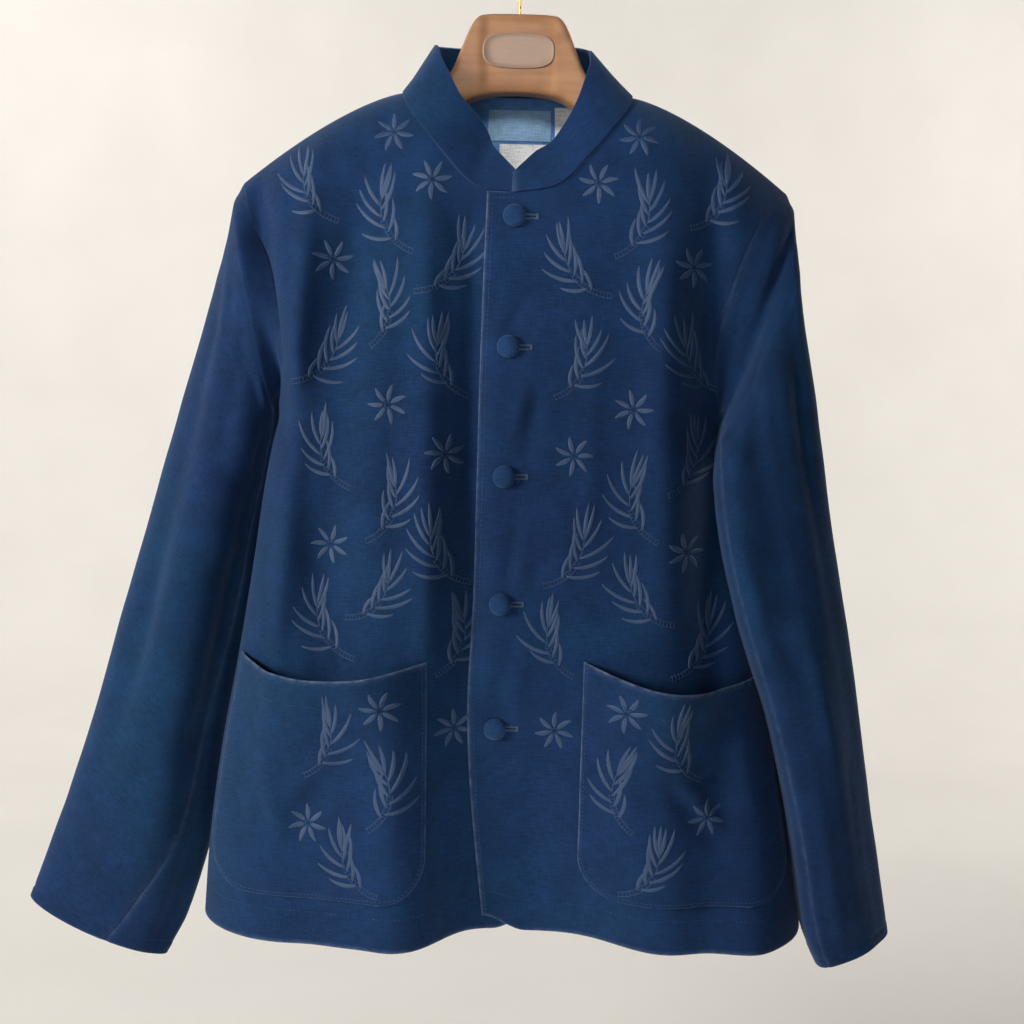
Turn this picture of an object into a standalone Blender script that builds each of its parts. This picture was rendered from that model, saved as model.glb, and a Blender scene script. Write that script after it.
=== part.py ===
"""A mandarin collar jacket hanging on a broad-shouldered hanger.

Metres, +Z up. The origin is the point inside the hook's crook where a rail carries the hanger. The
front faces -Y, so the wearer's left side is at +X. Each cloth piece is a wall lofted through sections
that are worked out from the sizes and the short tables below.
"""
import math

import bmesh
import bpy
import numpy as np
from mathutils import Vector

LEFT, RIGHT = 1, -1


def table(columns, *rows):
    """A small table as one array for each named column."""
    return {name: np.array(values) for name, values in zip(columns.split(), zip(*rows))}


# Thicknesses and clearances
CLOTH = 0.0016
COLLAR_CLOTH = 0.0024
FACING_CLOTH = 0.0010
LABEL_CLOTH = 0.0010
SEAM = 0.0003
LAID_ON = 0.0009
FACING_GAP = 0.0010
UNDERLAP, UNDERLAP_FROM, UNDERLAP_SPAN = 0.0034, -0.075, 0.045

# Main heights and reaches of the hanging jacket
HEM_Z = -0.800
UNDERARM_Z = -0.385
FRONT_NECK_Z = -0.208
NECK_POINT_X, NECK_POINT_Z = 0.090, -0.124
TIP_X, TIP_Z = 0.2195, -0.198
SHOULDER_BEND = 1.4
FRONT_ROLL, BACK_ROLL = 0.075, 0.045
BACK_NECK_RISE = 0.002
BACK_RIDGE_RISE = 0.030
EXTENSION = 0.0215
HEM_CORNER, HEM_CORNER_RISE = 0.035, 0.013
BACK_ARMHOLE_OUT = 0.007

# Body sections from the hem up: half widths at each side, reach of front and back, how far the
# centre front falls back, and how square the front and the back turn into the sides
BODY = table(
    "z right_half left_half front back recess right_square left_square back_square",
    (-0.800, 0.250, 0.250, 0.092, 0.058, 0.046, 3.2, 7.0, 2.8),
    (-0.740, 0.246, 0.247, 0.090, 0.058, 0.037, 3.2, 4.8, 2.8),
    (-0.660, 0.236, 0.236, 0.086, 0.057, 0.024, 3.0, 3.4, 2.8),
    (-0.580, 0.222, 0.223, 0.081, 0.055, 0.014, 3.0, 3.0, 2.8),
    (-0.500, 0.2105, 0.203, 0.076, 0.053, 0.008, 3.2, 3.2, 3.2),
    (-0.440, 0.2025, 0.184, 0.073, 0.052, 0.004, 3.7, 3.7, 3.8),
    (-0.385, 0.190, 0.174, 0.070, 0.051, 0.002, 4.4, 4.4, 4.6),
    (-0.340, 0.208, 0.194, 0.067, 0.050, 0.000, 3.7, 3.7, 3.6),
    (-0.290, 0.234, 0.224, 0.063, 0.049, 0.000, 3.1, 3.1, 2.8),
    (-0.230, 0.250, 0.246, 0.059, 0.048, 0.000, 3.0, 3.0, 2.6),
    (-0.120, 0.256, 0.256, 0.053, 0.046, 0.000, 3.0, 3.0, 2.6),
)
RECESS_REACH = {RIGHT: 0.058, LEFT: 0.092}

# Centre front, which wanders a little as the cloth hangs
CENTRE_FRONT = table(
    "z x",
    (-0.800, 0.007),
    (-0.730, 0.000),
    (-0.670, -0.005),
    (-0.615, -0.0075),
    (-0.530, -0.005),
    (-0.430, -0.004),
    (-0.330, -0.003),
    (-0.211, 0.000),
)

# Front neckline from the centre front up to the neck point, by share of the panel's upper rows
NECK_CORNER, NECK_START = 6 / 12, 7 / 12
NECKLINE = table(
    "share x z",
    (7 / 12, -0.0020, -0.2080),
    (8 / 12, 0.0385, -0.2035),
    (9 / 12, 0.0590, -0.1800),
    (10 / 12, 0.0745, -0.1600),
    (11 / 12, 0.0860, -0.1395),
    (12 / 12, 0.0900, -0.1240),
)

# Front armhole edge from the underarm to the shoulder tip
ARMHOLE = table(
    "z right_x left_x",
    (-0.385, 0.1900, 0.1740),
    (-0.345, 0.1870, 0.1680),
    (-0.300, 0.1930, 0.1720),
    (-0.258, 0.2010, 0.1810),
    (-0.231, 0.2085, 0.1890),
    (-0.210, 0.2155, 0.2020),
    (-0.198, 0.2195, 0.2195),
)

# Largest folds: a ridge stands out, a trough has a negative height
FOLD_FADE = 0.070
FRONT_FOLDS = table(
    "x_top z_top x_low z_low half_width height",
    (-0.158, -0.200, -0.186, -0.590, 0.015, 0.006),
    (-0.130, -0.225, -0.149, -0.590, 0.017, -0.006),
    (-0.096, -0.180, -0.094, -0.560, 0.020, 0.003),
    (-0.068, -0.190, -0.058, -0.600, 0.016, 0.006),
    (-0.029, -0.250, -0.027, -0.620, 0.012, -0.005),
    (-0.090, -0.560, -0.084, -0.880, 0.020, 0.006),
    (-0.150, -0.620, -0.152, -0.880, 0.026, -0.005),
    (0.148, -0.240, 0.166, -0.590, 0.017, -0.007),
    (0.116, -0.200, 0.130, -0.590, 0.018, 0.005),
    (0.086, -0.230, 0.082, -0.590, 0.015, -0.004),
    (0.054, -0.220, 0.042, -0.540, 0.016, 0.004),
    (0.160, -0.580, 0.166, -0.880, 0.022, -0.007),
    (0.205, -0.620, 0.212, -0.880, 0.018, 0.006),
)
BACK_FOLDS = table(
    "x_top z_top x_low z_low half_width height",
    (-0.150, -0.300, -0.180, -0.720, 0.022, -0.006),
    (-0.104, -0.260, -0.128, -0.900, 0.028, 0.007),
    (-0.030, -0.330, -0.040, -0.900, 0.030, -0.005),
    (0.052, -0.280, 0.058, -0.900, 0.030, 0.005),
    (0.112, -0.300, 0.122, -0.900, 0.026, -0.006),
    (0.148, -0.300, 0.176, -0.760, 0.022, 0.005),
)

# Sleeve sections from just below the armhole to the cuff: outer and inner edge, the depth that both
# edges lie at, the reach from there to the front and the back, and how far the cloth has twisted
SLEEVE = {
    RIGHT: table(
        "outer_x outer_z inner_x inner_z edge_y to_front to_back twist_deg",
        (0.2265, -0.2150, 0.1940, -0.3860, -0.004, 0.038, 0.038, 0.0),
        (0.2370, -0.2560, 0.1970, -0.3980, 0.002, 0.042, 0.042, 0.0),
        (0.2520, -0.3000, 0.2000, -0.4230, 0.013, 0.048, 0.040, 0.0),
        (0.2740, -0.3740, 0.2070, -0.4680, 0.019, 0.050, 0.040, 0.0),
        (0.2985, -0.4570, 0.2155, -0.5200, 0.021, 0.048, 0.040, 0.0),
        (0.3225, -0.5420, 0.2250, -0.5780, 0.021, 0.045, 0.040, 0.0),
        (0.3465, -0.6270, 0.2380, -0.6560, 0.021, 0.040, 0.040, -6.0),
        (0.3745, -0.7140, 0.2495, -0.7440, 0.021, 0.035, 0.035, -22.0),
        (0.3960, -0.7760, 0.2705, -0.8160, 0.017, 0.028, 0.028, -40.0),
        (0.4050, -0.8025, 0.2885, -0.8520, 0.014, 0.024, 0.024, -48.0),
    ),
    LEFT: table(
        "outer_x outer_z inner_x inner_z edge_y to_front to_back twist_deg",
        (0.2240, -0.2130, 0.1785, -0.3860, -0.008, 0.037, 0.038, 0.0),
        (0.2260, -0.2500, 0.1772, -0.3950, -0.024, 0.038, 0.037, 0.0),
        (0.2275, -0.2900, 0.1685, -0.4120, -0.045, 0.034, 0.027, 0.0),
        (0.2375, -0.3630, 0.1610, -0.4400, -0.059, 0.033, 0.022, 0.0),
        (0.2495, -0.4420, 0.1660, -0.4850, -0.066, 0.036, 0.022, 0.0),
        (0.2640, -0.5215, 0.1860, -0.5400, -0.067, 0.038, 0.026, 0.0),
        (0.2805, -0.6020, 0.2150, -0.6170, -0.060, 0.040, 0.034, 0.0),
        (0.2965, -0.6860, 0.2320, -0.7000, -0.051, 0.041, 0.038, -4.0),
        (0.3130, -0.7650, 0.2490, -0.7840, -0.042, 0.038, 0.036, -8.0),
        (0.3190, -0.7950, 0.2570, -0.8150, -0.037, 0.036, 0.036, -10.0),
    ),
}
# Columns of a sleeve's rings, counted from its outer edge, where its front and its back seam run
SLEEVE_FRONT_SEAM, SLEEVE_BACK_SEAM = 10, 18
# Ring at the elbow, where a top sleeve is parted into two lengths that bend less
SLEEVE_ELBOW_RING = 7

# Long soft folds round a sleeve: 0 is its outer edge, 90 its front and 180 its inner edge
SLEEVE_FOLDS = {
    RIGHT: table(
        "angle_deg half_angle_deg from_row to_row height",
        (58.0, 20.0, 0.0, 6.5, -0.004),
        (112.0, 22.0, 1.0, 8.0, 0.004),
        (152.0, 16.0, 4.0, 9.5, -0.003),
        (262.0, 26.0, 1.0, 8.0, -0.004),
    ),
    LEFT: table(
        "angle_deg half_angle_deg from_row to_row height",
        (62.0, 20.0, 3.0, 9.5, 0.003),
        (88.0, 18.0, 0.5, 6.0, -0.004),
        (126.0, 18.0, 1.0, 6.0, 0.004),
        (270.0, 26.0, 1.0, 8.0, 0.004),
    ),
}
SLEEVE_FOLD_FADE = 1.5

# Collar by share of the neckline from the centre front (0) to the centre back (1)
COLLAR = table(
    "share right_height left_height right_lean left_lean",
    (0.00, 0.0160, 0.0160, 14.0, 14.0),
    (0.09, 0.0300, 0.0290, 26.0, 24.0),
    (0.22, 0.0410, 0.0400, 38.0, 34.0),
    (0.42, 0.0450, 0.0450, 40.0, 39.0),
    (0.58, 0.0445, 0.0450, 35.0, 43.0),
    (0.78, 0.0410, 0.0410, 19.0, 24.0),
    (1.00, 0.0390, 0.0390, 12.0, 12.0),
)
COLLAR_AXIS_Y = -0.005

# Patch pockets: the mouth's height is given at its inner and outer corner
POCKET_GAP = 0.0016
POCKET_INNER_X = 0.062
POCKET_BOTTOM_Z = -0.762
POCKET_TOP_Z = {RIGHT: (-0.572, -0.566), LEFT: (-0.571, -0.583)}
POCKET_CORNER = 0.034
POCKET_SIDE_SHARE = {RIGHT: 0.955, LEFT: 0.920}
POCKET_SAG = 0.011
POCKET_GAPE = 0.030
POCKET_GAPE_FROM = 0.30
POCKET_FULLNESS = 0.003

# Neck facing and its blank labels, as centre and size on the facing
FACING_HALF_TOP, FACING_HALF_LOW = 0.058, 0.050
FACING_BOTTOM_Z, FACING_BELOW_EDGE = -0.196, 0.0015
LABELS = (
    ("label_main", 0.002, -0.139, 0.052, 0.026),
    ("label_size", 0.005, -0.168, 0.038, 0.026),
    ("label_tab", 0.0395, -0.136, 0.015, 0.026),
)

# Covered buttons down the centre front
BUTTON_COUNT = 5
BUTTON_TOP_Z, BUTTON_PITCH = -0.2265, 0.1002
BUTTON_RADIUS, BUTTON_DOME, BUTTON_RIM = 0.0088, 0.0042, 0.0022
SHANK_RADIUS, SHANK_LENGTH = 0.0040, 0.0012
BUTTON_WAIST, BUTTON_WAIST_RISE = 0.96, 0.3
BUTTON_STEPS = 16

# Hanger: its neck by table, its arms under the shoulder seams
HANGER_NECK = table(
    "x top_z bottom_z half_depth squareness",
    (0.000, -0.0620, -0.1230, 0.0125, 5.0),
    (0.028, -0.0622, -0.1258, 0.0125, 5.0),
    (0.036, -0.0665, -0.1285, 0.0125, 5.0),
    (0.044, -0.0840, -0.1335, 0.0130, 4.5),
    (0.052, -0.1040, -0.1400, 0.0140, 4.0),
    (0.064, -0.1190, -0.1490, 0.0150, 3.5),
    (0.080, -0.1275, -0.1580, 0.0160, 3.0),
)
HANGER_ARM_X = (0.092, 0.110, 0.130, 0.150, 0.170, 0.190, 0.202)
HANGER_ARM_DEEP, HANGER_ARM_THIN = 0.038, 0.030
HANGER_ARM_HALF_DEPTH, HANGER_TIP_HALF_DEPTH = 0.0165, 0.0125
HANGER_ARM_SQUARE = 2.0
HANGER_CLEAR = 0.0043
HANGER_NECK_CLEAR = 0.0050
HANGER_END_LENGTH, HANGER_END_DROP, HANGER_END_RISE, HANGER_END_THIN = 0.005, 0.009, 0.005, 0.6
HANGER_SIDES = 16
PLATE_WIDTH, PLATE_HEIGHT, PLATE_THICK, PLATE_Z = 0.059, 0.026, 0.0018, -0.0905

# Wire hook
WIRE_RADIUS = 0.0017
CROOK_RADIUS = 0.017
CROOK_FROM_DEG, CROOK_TO_DEG, CROOK_STEPS = -40.0, 200.0, 20
HOOK_SWEEP = ((0.0075, -0.0345), (0.0022, -0.0400), (0.0, -0.0460))

# Grid of each cloth piece
FRONT_COLUMNS, BACK_SHOULDER_COLUMNS, BACK_NECK_COLUMNS = 18, 6, 10
LOWER_ROWS, UPPER_ROWS = 14, 12
SLEEVE_RINGS, COLLAR_ROWS = 15, 4
POCKET_COLUMNS, POCKET_ROWS, POCKET_ROW_CLOSING = 12, 11, 1.6
BACK_NECK_SHARE = 0.4
EVEN_SHARE = 0.7
STEP = 1e-4


# Numbers

def smooth(knots, values, at):
    """A cubic through a column's values at its knots, level outside them."""
    slopes = np.gradient(values, knots)
    at = np.clip(at, knots[0], knots[-1])
    k = np.clip(np.searchsorted(knots, at) - 1, 0, len(knots) - 2)
    span = knots[k + 1] - knots[k]
    t = (at - knots[k]) / span
    start = values[k] * (1 + 2 * t) * (1 - t) ** 2 + slopes[k] * span * t * (1 - t) ** 2
    end = values[k + 1] * t ** 2 * (3 - 2 * t) + slopes[k + 1] * span * t ** 2 * (t - 1)
    return start + end


def ease(t):
    """0 to 1 with level ends."""
    t = np.clip(t, 0.0, 1.0)
    return t * t * (3 - 2 * t)


def unit(vectors):
    return vectors / np.linalg.norm(vectors, axis=-1, keepdims=True)


def points(x, y, z):
    return np.stack(np.broadcast_arrays(x, y, z), axis=-1)


# Body surface

def body(column, z):
    return smooth(BODY["z"], BODY[column], z)


def half_width(side, z):
    return body("left_half" if side == LEFT else "right_half", z)


def signed(left, right, x):
    return np.where(x > 0, left, right)


def centre_front(z):
    return smooth(CENTRE_FRONT["z"], CENTRE_FRONT["x"], z)


def ridge_z(x):
    """Height of the shoulder line, level across the neck."""
    share = np.clip((np.abs(x) - NECK_POINT_X) / (TIP_X - NECK_POINT_X), 0.0, 1.0)
    return NECK_POINT_Z + (TIP_Z - NECK_POINT_Z) * share ** SHOULDER_BEND


def roll(below_ridge, length):
    """How far cloth has come out over the shoulder, from 0 on the ridge to 1 a length below it."""
    return np.sqrt(1 - (1 - np.clip(below_ridge / length, 0.0, 1.0)) ** 2)


def fold_height(folds, x, z):
    total = np.zeros_like(x)
    for x_top, z_top, x_low, z_low, width, height in zip(*folds.values()):
        middle = x_low + (x_top - x_low) * (z - z_low) / (z_top - z_low)
        fade = ease((z - z_low) / FOLD_FADE) * ease((z_top - z) / FOLD_FADE)
        total = total + height * fade * np.exp(-((x - middle) / width) ** 2)
    return total


def front_y(side, x, z):
    """Depth of a front at a place in the front view."""
    x, z = np.broadcast_arrays(np.asarray(x, float), np.asarray(z, float))
    half = signed(body("left_half", z), body("right_half", z), x)
    square = signed(body("left_square", z), body("right_square", z), x)
    across = np.clip(np.abs(x) / half, 0.0, 1.0)
    rounding = np.sqrt(1 - across ** square)
    reach = body("front", z) * rounding * roll(ridge_z(x) - z, FRONT_ROLL)
    from_centre = x - centre_front(z)
    recess_reach = signed(RECESS_REACH[LEFT], RECESS_REACH[RIGHT], from_centre)
    recess = body("recess", z) * np.exp(-(from_centre / recess_reach) ** 4)
    folds = fold_height(FRONT_FOLDS, x, z) * (1 - across ** 6) * ease((ridge_z(x) - z) / FOLD_FADE)
    under = UNDERLAP * ease((from_centre - UNDERLAP_FROM) / UNDERLAP_SPAN) if side == RIGHT else 0.0
    return -reach + recess - folds + under


def back_y(x, z):
    """Depth of the back at a place in the front view."""
    x, z = np.broadcast_arrays(np.asarray(x, float), np.asarray(z, float))
    half = signed(body("left_half", z), body("right_half", z), x)
    across = np.clip(np.abs(x) / half, 0.0, 1.0)
    rounding = np.sqrt(1 - across ** body("back_square", z))
    inside_neck = np.cos(np.clip(x / NECK_POINT_X, -1, 1) * math.pi / 2)
    below = ridge_z(x) + BACK_RIDGE_RISE * inside_neck - z
    folds = fold_height(BACK_FOLDS, x, z) * (1 - across ** 6)
    return body("back", z) * rounding * roll(below, BACK_ROLL) + folds


def armhole(side, share, out=0.0):
    """Armhole edge in the front view, from the underarm (0) to the shoulder tip (1)."""
    z = UNDERARM_Z + (TIP_Z - UNDERARM_Z) * (1 - np.cos(math.pi * share)) / 2
    x = smooth(ARMHOLE["z"], ARMHOLE["left_x" if side == LEFT else "right_x"], z)
    return side * (x + out * np.sin(math.pi * share) ** 2), z


def spread(u):
    """Even columns that close up where the cloth turns into the side."""
    closing = 1 - EVEN_SHARE
    slope = 1 / (EVEN_SHARE + closing * 2 / math.pi)
    turn = np.sin(np.clip((u - EVEN_SHARE) / closing, 0.0, 1.0) * math.pi / 2)
    return slope * (np.minimum(u, EVEN_SHARE) + closing * 2 / math.pi * turn)


def neck_edge(side, share):
    """Inner edge of a front above the underarm: the front edge, its top corner, then the neckline."""
    z = np.interp(share, (0, NECK_CORNER, NECK_START), (UNDERARM_Z, FRONT_NECK_Z, FRONT_NECK_Z))
    x = np.interp(share, (0, NECK_CORNER, NECK_START), (-EXTENSION, -EXTENSION, NECKLINE["x"][0]))
    on_neckline = share > NECK_START
    x = np.where(on_neckline, smooth(NECKLINE["share"], NECKLINE["x"], share), x)
    z = np.where(on_neckline, smooth(NECKLINE["share"], NECKLINE["z"], share), z)
    return side * x + centre_front(z), z


def front_point(side, u, v):
    """A front by u from its front edge to its side, and v from hem (0) to underarm (1) to shoulder (2)."""
    u, v = np.clip(u, 0.0, 1.0), np.clip(v, 0.0, 2.0)
    level = HEM_Z + (UNDERARM_Z - HEM_Z) * np.minimum(v, 1.0)
    edge_x = centre_front(level) - side * EXTENSION
    low_x = edge_x + (side * half_width(side, level) - edge_x) * spread(u)
    corner = 1 - np.abs(low_x - edge_x) / HEM_CORNER
    low_z = level + HEM_CORNER_RISE * ease(corner) * np.clip(1 - 3 * v, 0.0, 1.0)
    share = np.clip(v - 1, 0.0, 1.0)
    inner_x, inner_z = neck_edge(side, share)
    outer_x, outer_z = armhole(side, share)
    across = spread(u) + (u - spread(u)) * ease(share)
    bend = ridge_z(NECK_POINT_X + (TIP_X - NECK_POINT_X) * u) - NECK_POINT_Z - (TIP_Z - NECK_POINT_Z) * u
    x = np.where(v <= 1, low_x, inner_x + (outer_x - inner_x) * across)
    z = np.where(v <= 1, low_z, inner_z + (outer_z - inner_z) * across + bend * share ** 3)
    return points(x, front_y(side, x, z), z)


def back_point(u, v):
    """The back by u from its right side (-1) to its left (1), and v as on the fronts."""
    u, v = np.clip(u, -1.0, 1.0), np.clip(v, 0.0, 2.0)
    out, sign = np.abs(u), np.sign(u)
    level = HEM_Z + (UNDERARM_Z - HEM_Z) * np.minimum(v, 1.0)
    low_x = sign * signed(body("left_half", level), body("right_half", level), u) * spread(out)
    rise = (1 - np.cos(math.pi * np.clip(v - 1, 0.0, 1.0))) / 2
    on_shoulder = (out - BACK_NECK_SHARE) / (1 - BACK_NECK_SHARE)
    top_x = NECK_POINT_X * np.minimum(out / BACK_NECK_SHARE, 1.0)
    top_x = top_x + (TIP_X - NECK_POINT_X) * np.maximum(on_shoulder, 0.0)
    neck_rise = BACK_NECK_RISE * np.maximum(1 - (out / BACK_NECK_SHARE) ** 2, 0.0)
    top_z = ridge_z(top_x) + neck_rise
    share = np.clip(v - 1, 0.0, 1.0)
    left_x, _ = armhole(LEFT, share, BACK_ARMHOLE_OUT)
    right_x, _ = armhole(RIGHT, share, BACK_ARMHOLE_OUT)
    edge_x = np.abs(signed(left_x, right_x, u))
    straight_x = signed(half_width(LEFT, UNDERARM_Z), half_width(RIGHT, UNDERARM_Z), u)
    straight_x = straight_x + (TIP_X - straight_x) * rise
    high_x = low_x + (sign * top_x - low_x) * rise + sign * (edge_x - straight_x) * out ** 4
    x = np.where(v <= 1, low_x, high_x)
    z = np.where(v <= 1, level, UNDERARM_Z + (top_z - UNDERARM_Z) * rise)
    return points(x, back_y(x, z), z)


def surface_normals(surface, u, v, turn):
    across = surface(u + STEP, v) - surface(u - STEP, v)
    along = surface(u, v + STEP) - surface(u, v - STEP)
    return unit(turn * np.cross(across, along))


# Building

def material(name, colour, roughness, metallic=0.0):
    finish = bpy.data.materials.new(name)
    finish.use_nodes = True
    shader = finish.node_tree.nodes["Principled BSDF"]
    shader.inputs["Base Color"].default_value = (*colour, 1.0)
    shader.inputs["Roughness"].default_value = roughness
    shader.inputs["Metallic"].default_value = metallic
    return finish


def add_object(name, data, finish):
    thing = bpy.data.objects.new(name, data)
    thing.data.materials.append(finish)
    bpy.data.collections["mandarin_collar_jacket"].objects.link(thing)
    return thing


def mesh_object(name, shape, finish):
    """Turn a finished bmesh into an object, with its faces pointing out."""
    bmesh.ops.recalc_face_normals(shape, faces=shape.faces[:])
    mesh = bpy.data.meshes.new(name)
    shape.to_mesh(mesh)
    shape.free()
    mesh.shade_smooth()
    mesh.set_sharp_from_angle(angle=math.radians(50))
    return add_object(name, mesh, finish)


def lofted_wall(name, outer, inner, finish):
    """A wall between an outer and an inner grid of points."""
    shape = bmesh.new()
    faces = [[[shape.verts.new(p) for p in row] for row in grid] for grid in (outer, inner)]
    rows, columns = outer.shape[:2]
    for grid in faces:
        for i in range(rows - 1):
            for j in range(columns - 1):
                shape.faces.new((grid[i][j], grid[i][j + 1], grid[i + 1][j + 1], grid[i + 1][j]))
    out, back = faces
    for i in (0, rows - 1):
        for j in range(columns - 1):
            shape.faces.new((out[i][j], out[i][j + 1], back[i][j + 1], back[i][j]))
    for j in (0, columns - 1):
        for i in range(rows - 1):
            shape.faces.new((out[i][j], out[i + 1][j], back[i + 1][j], back[i][j]))
    return mesh_object(name, shape, finish)


def part_seams(grid, top=False, left_rows=0, right_rows=0):
    """Draw the sewn edges of a panel back by half the seam's gap."""
    moved = grid.copy()
    if top:
        moved[-1] += unit(grid[-2] - grid[-1]) * SEAM / 2
    if left_rows:
        moved[:left_rows, 0] += unit(grid[:left_rows, 1] - grid[:left_rows, 0]) * SEAM / 2
    if right_rows:
        moved[:right_rows, -1] += unit(grid[:right_rows, -2] - grid[:right_rows, -1]) * SEAM / 2
    return moved


def panel_rows():
    lower = np.linspace(0, 1, LOWER_ROWS + 1)
    upper = np.linspace(1, 2, UPPER_ROWS + 1)
    return np.concatenate([lower, upper[1:]])


def make_front(name, side, finish):
    u, v = np.meshgrid(np.linspace(0, 1, FRONT_COLUMNS + 1), panel_rows())

    def surface(a, b):
        return front_point(side, a, b)

    outer = surface(u, v)
    inner = outer - CLOTH * surface_normals(surface, u, v, side)
    seams = {"top": True, "right_rows": LOWER_ROWS + 1}
    return lofted_wall(name, part_seams(outer, **seams), part_seams(inner, **seams), finish)


def back_columns():
    shoulder = np.linspace(BACK_NECK_SHARE, 1, BACK_SHOULDER_COLUMNS + 1)[1:]
    neck = np.linspace(-BACK_NECK_SHARE, BACK_NECK_SHARE, BACK_NECK_COLUMNS + 1)
    return np.concatenate([-shoulder[::-1], neck, shoulder])


def make_back(finish):
    u, v = np.meshgrid(back_columns(), panel_rows())
    outer = back_point(u, v)
    inner = outer - CLOTH * surface_normals(back_point, u, v, -1)
    seams = {"top": True, "left_rows": LOWER_ROWS + 1, "right_rows": LOWER_ROWS + 1}
    return lofted_wall("back", part_seams(outer, **seams), part_seams(inner, **seams), finish)


def armhole_ring(side):
    """Armhole edge as a ring from the tip down the front and up the back, with the body's normals."""
    down = 1 + np.linspace(1, 0, UPPER_ROWS + 1)
    up = 1 + np.linspace(0, 1, UPPER_ROWS + 1)[1:-1]

    def front(a, b):
        return front_point(side, a, b)

    ones = np.ones_like
    edge = np.concatenate([front(ones(down), down), back_point(side * ones(up), up)])
    front_normals = surface_normals(front, ones(down), down, side)
    back_normals = surface_normals(back_point, side * ones(up), up, -1)
    return edge, np.concatenate([front_normals, back_normals])


def sleeve_folds(side, turn, at):
    total = 0.0
    for angle, width, start, end, height in zip(*SLEEVE_FOLDS[side].values()):
        fade = ease((at - start) / SLEEVE_FOLD_FADE) * ease((end - at) / SLEEVE_FOLD_FADE)
        total = total + height * fade * np.exp(-((np.degrees(turn) - angle) / width) ** 2)
    return total


def sleeve_rings(side, count):
    """Sleeve sections below the armhole, each a flattened ring from outer edge to inner edge."""
    rows = SLEEVE[side]
    knots = np.arange(len(rows["outer_x"]), dtype=float)
    at = np.linspace(0, knots[-1], count)
    row = {name: smooth(knots, values, at)[:, None] for name, values in rows.items()}
    turn = np.arange(2 * UPPER_ROWS) * math.pi / UPPER_ROWS + np.radians(row["twist_deg"])
    reach = np.where(np.sin(turn) > 0, row["to_front"], row["to_back"])
    swell = 1 + sleeve_folds(side, turn, at[:, None]) / reach
    toward_outer = 0.5 + swell * np.cos(turn) / 2
    x = side * (row["inner_x"] + (row["outer_x"] - row["inner_x"]) * toward_outer)
    z = row["inner_z"] + (row["outer_z"] - row["inner_z"]) * toward_outer
    y = row["edge_y"] - swell * reach * np.sin(turn)
    return points(x, y, z)


def ring_normals(rings, turn):
    around = np.roll(rings, -1, axis=1) - np.roll(rings, 1, axis=1)
    along = np.gradient(rings, axis=0)
    return unit(turn * np.cross(around, along))


def part_lengths(grid, row):
    """The lengths of a grid before and after a row, with the seam's gap between them."""
    upper, lower = grid[:row + 1].copy(), grid[row:].copy()
    upper[-1] += unit(grid[row - 1] - grid[row]) * SEAM / 2
    lower[0] += unit(grid[row + 1] - grid[row]) * SEAM / 2
    return upper, lower


def make_sleeve(name, side, finish):
    """A top sleeve over the outside and an under sleeve against the body, sewn along two seams."""
    edge, body_normals = armhole_ring(side)
    rings = sleeve_rings(side, SLEEVE_RINGS)
    leaving = unit(rings[0] - edge)
    outer = np.concatenate([(edge + SEAM * leaving)[None], rings])
    normals = ring_normals(outer, side)
    turns_in = np.sum(leaving * body_normals, axis=-1, keepdims=True) < 0
    normals[0] = np.where(turns_in, body_normals, normals[0])
    inner = outer - CLOTH * normals
    columns = np.arange(2 * UPPER_ROWS)
    under = columns[SLEEVE_FRONT_SEAM:SLEEVE_BACK_SEAM + 1]
    over = np.concatenate([columns[SLEEVE_BACK_SEAM:], columns[:SLEEVE_FRONT_SEAM + 1]])
    seams = {"left_rows": len(outer), "right_rows": len(outer)}
    lofted_wall(f"{name}_under", *(part_seams(grid[:, under], **seams) for grid in (outer, inner)), finish)
    walls = [part_lengths(part_seams(grid[:, over], **seams), SLEEVE_ELBOW_RING) for grid in (outer, inner)]
    for piece, grids in zip((f"{name}_top", f"{name}_forearm"), zip(*walls)):
        lofted_wall(piece, *grids, finish)


def neckline_ring():
    """Neckline from the right centre front round the back to the left centre front."""
    shares = 1 + np.linspace(NECK_START, 1, round((1 - NECK_START) * UPPER_ROWS) + 1)
    edge = np.zeros_like(shares)
    across = np.linspace(-BACK_NECK_SHARE, BACK_NECK_SHARE, BACK_NECK_COLUMNS + 1)
    right = front_point(RIGHT, edge, shares)
    left = front_point(LEFT, edge, shares)
    nape = back_point(across, np.full_like(across, 2.0))
    return np.concatenate([right, nape[1:-1], left[::-1]])


def make_collar(finish):
    base = neckline_ring()
    steps = np.linalg.norm(np.diff(base, axis=0), axis=1)
    travelled = np.concatenate([[0.0], np.cumsum(steps)])
    share = 1 - np.abs(2 * travelled / travelled[-1] - 1)
    sides = {name: smooth(COLLAR["share"], values, share) for name, values in COLLAR.items()}
    on_left = travelled > travelled[-1] / 2
    height = np.where(on_left, sides["left_height"], sides["right_height"])[:, None]
    lean = np.radians(np.where(on_left, sides["left_lean"], sides["right_lean"]))[:, None]
    inward = unit(np.array([0.0, COLLAR_AXIS_Y, 0.0]) - base * [1, 1, 0])
    rising = np.cos(lean) * [0, 0, 1] + np.sin(lean) * inward
    up = np.linspace(0, 1, COLLAR_ROWS + 1)[:, None, None]
    outer = base + rising * (SEAM + up * (height - SEAM))
    around = np.gradient(outer, axis=1)
    normals = unit(np.cross(around, np.broadcast_to(rising, outer.shape)))
    return lofted_wall("collar", outer, outer - COLLAR_CLOTH * normals, finish)


def height_field_normals(depth, x, z, turn):
    """Normals of a surface given as a depth over the front view; turn is -1 where it faces the front."""
    slope_x = (depth(x + STEP, z) - depth(x - STEP, z)) / (2 * STEP)
    slope_z = (depth(x, z + STEP) - depth(x, z - STEP)) / (2 * STEP)
    return unit(points(-turn * slope_x, turn * np.ones_like(x), -turn * slope_z))


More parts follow.
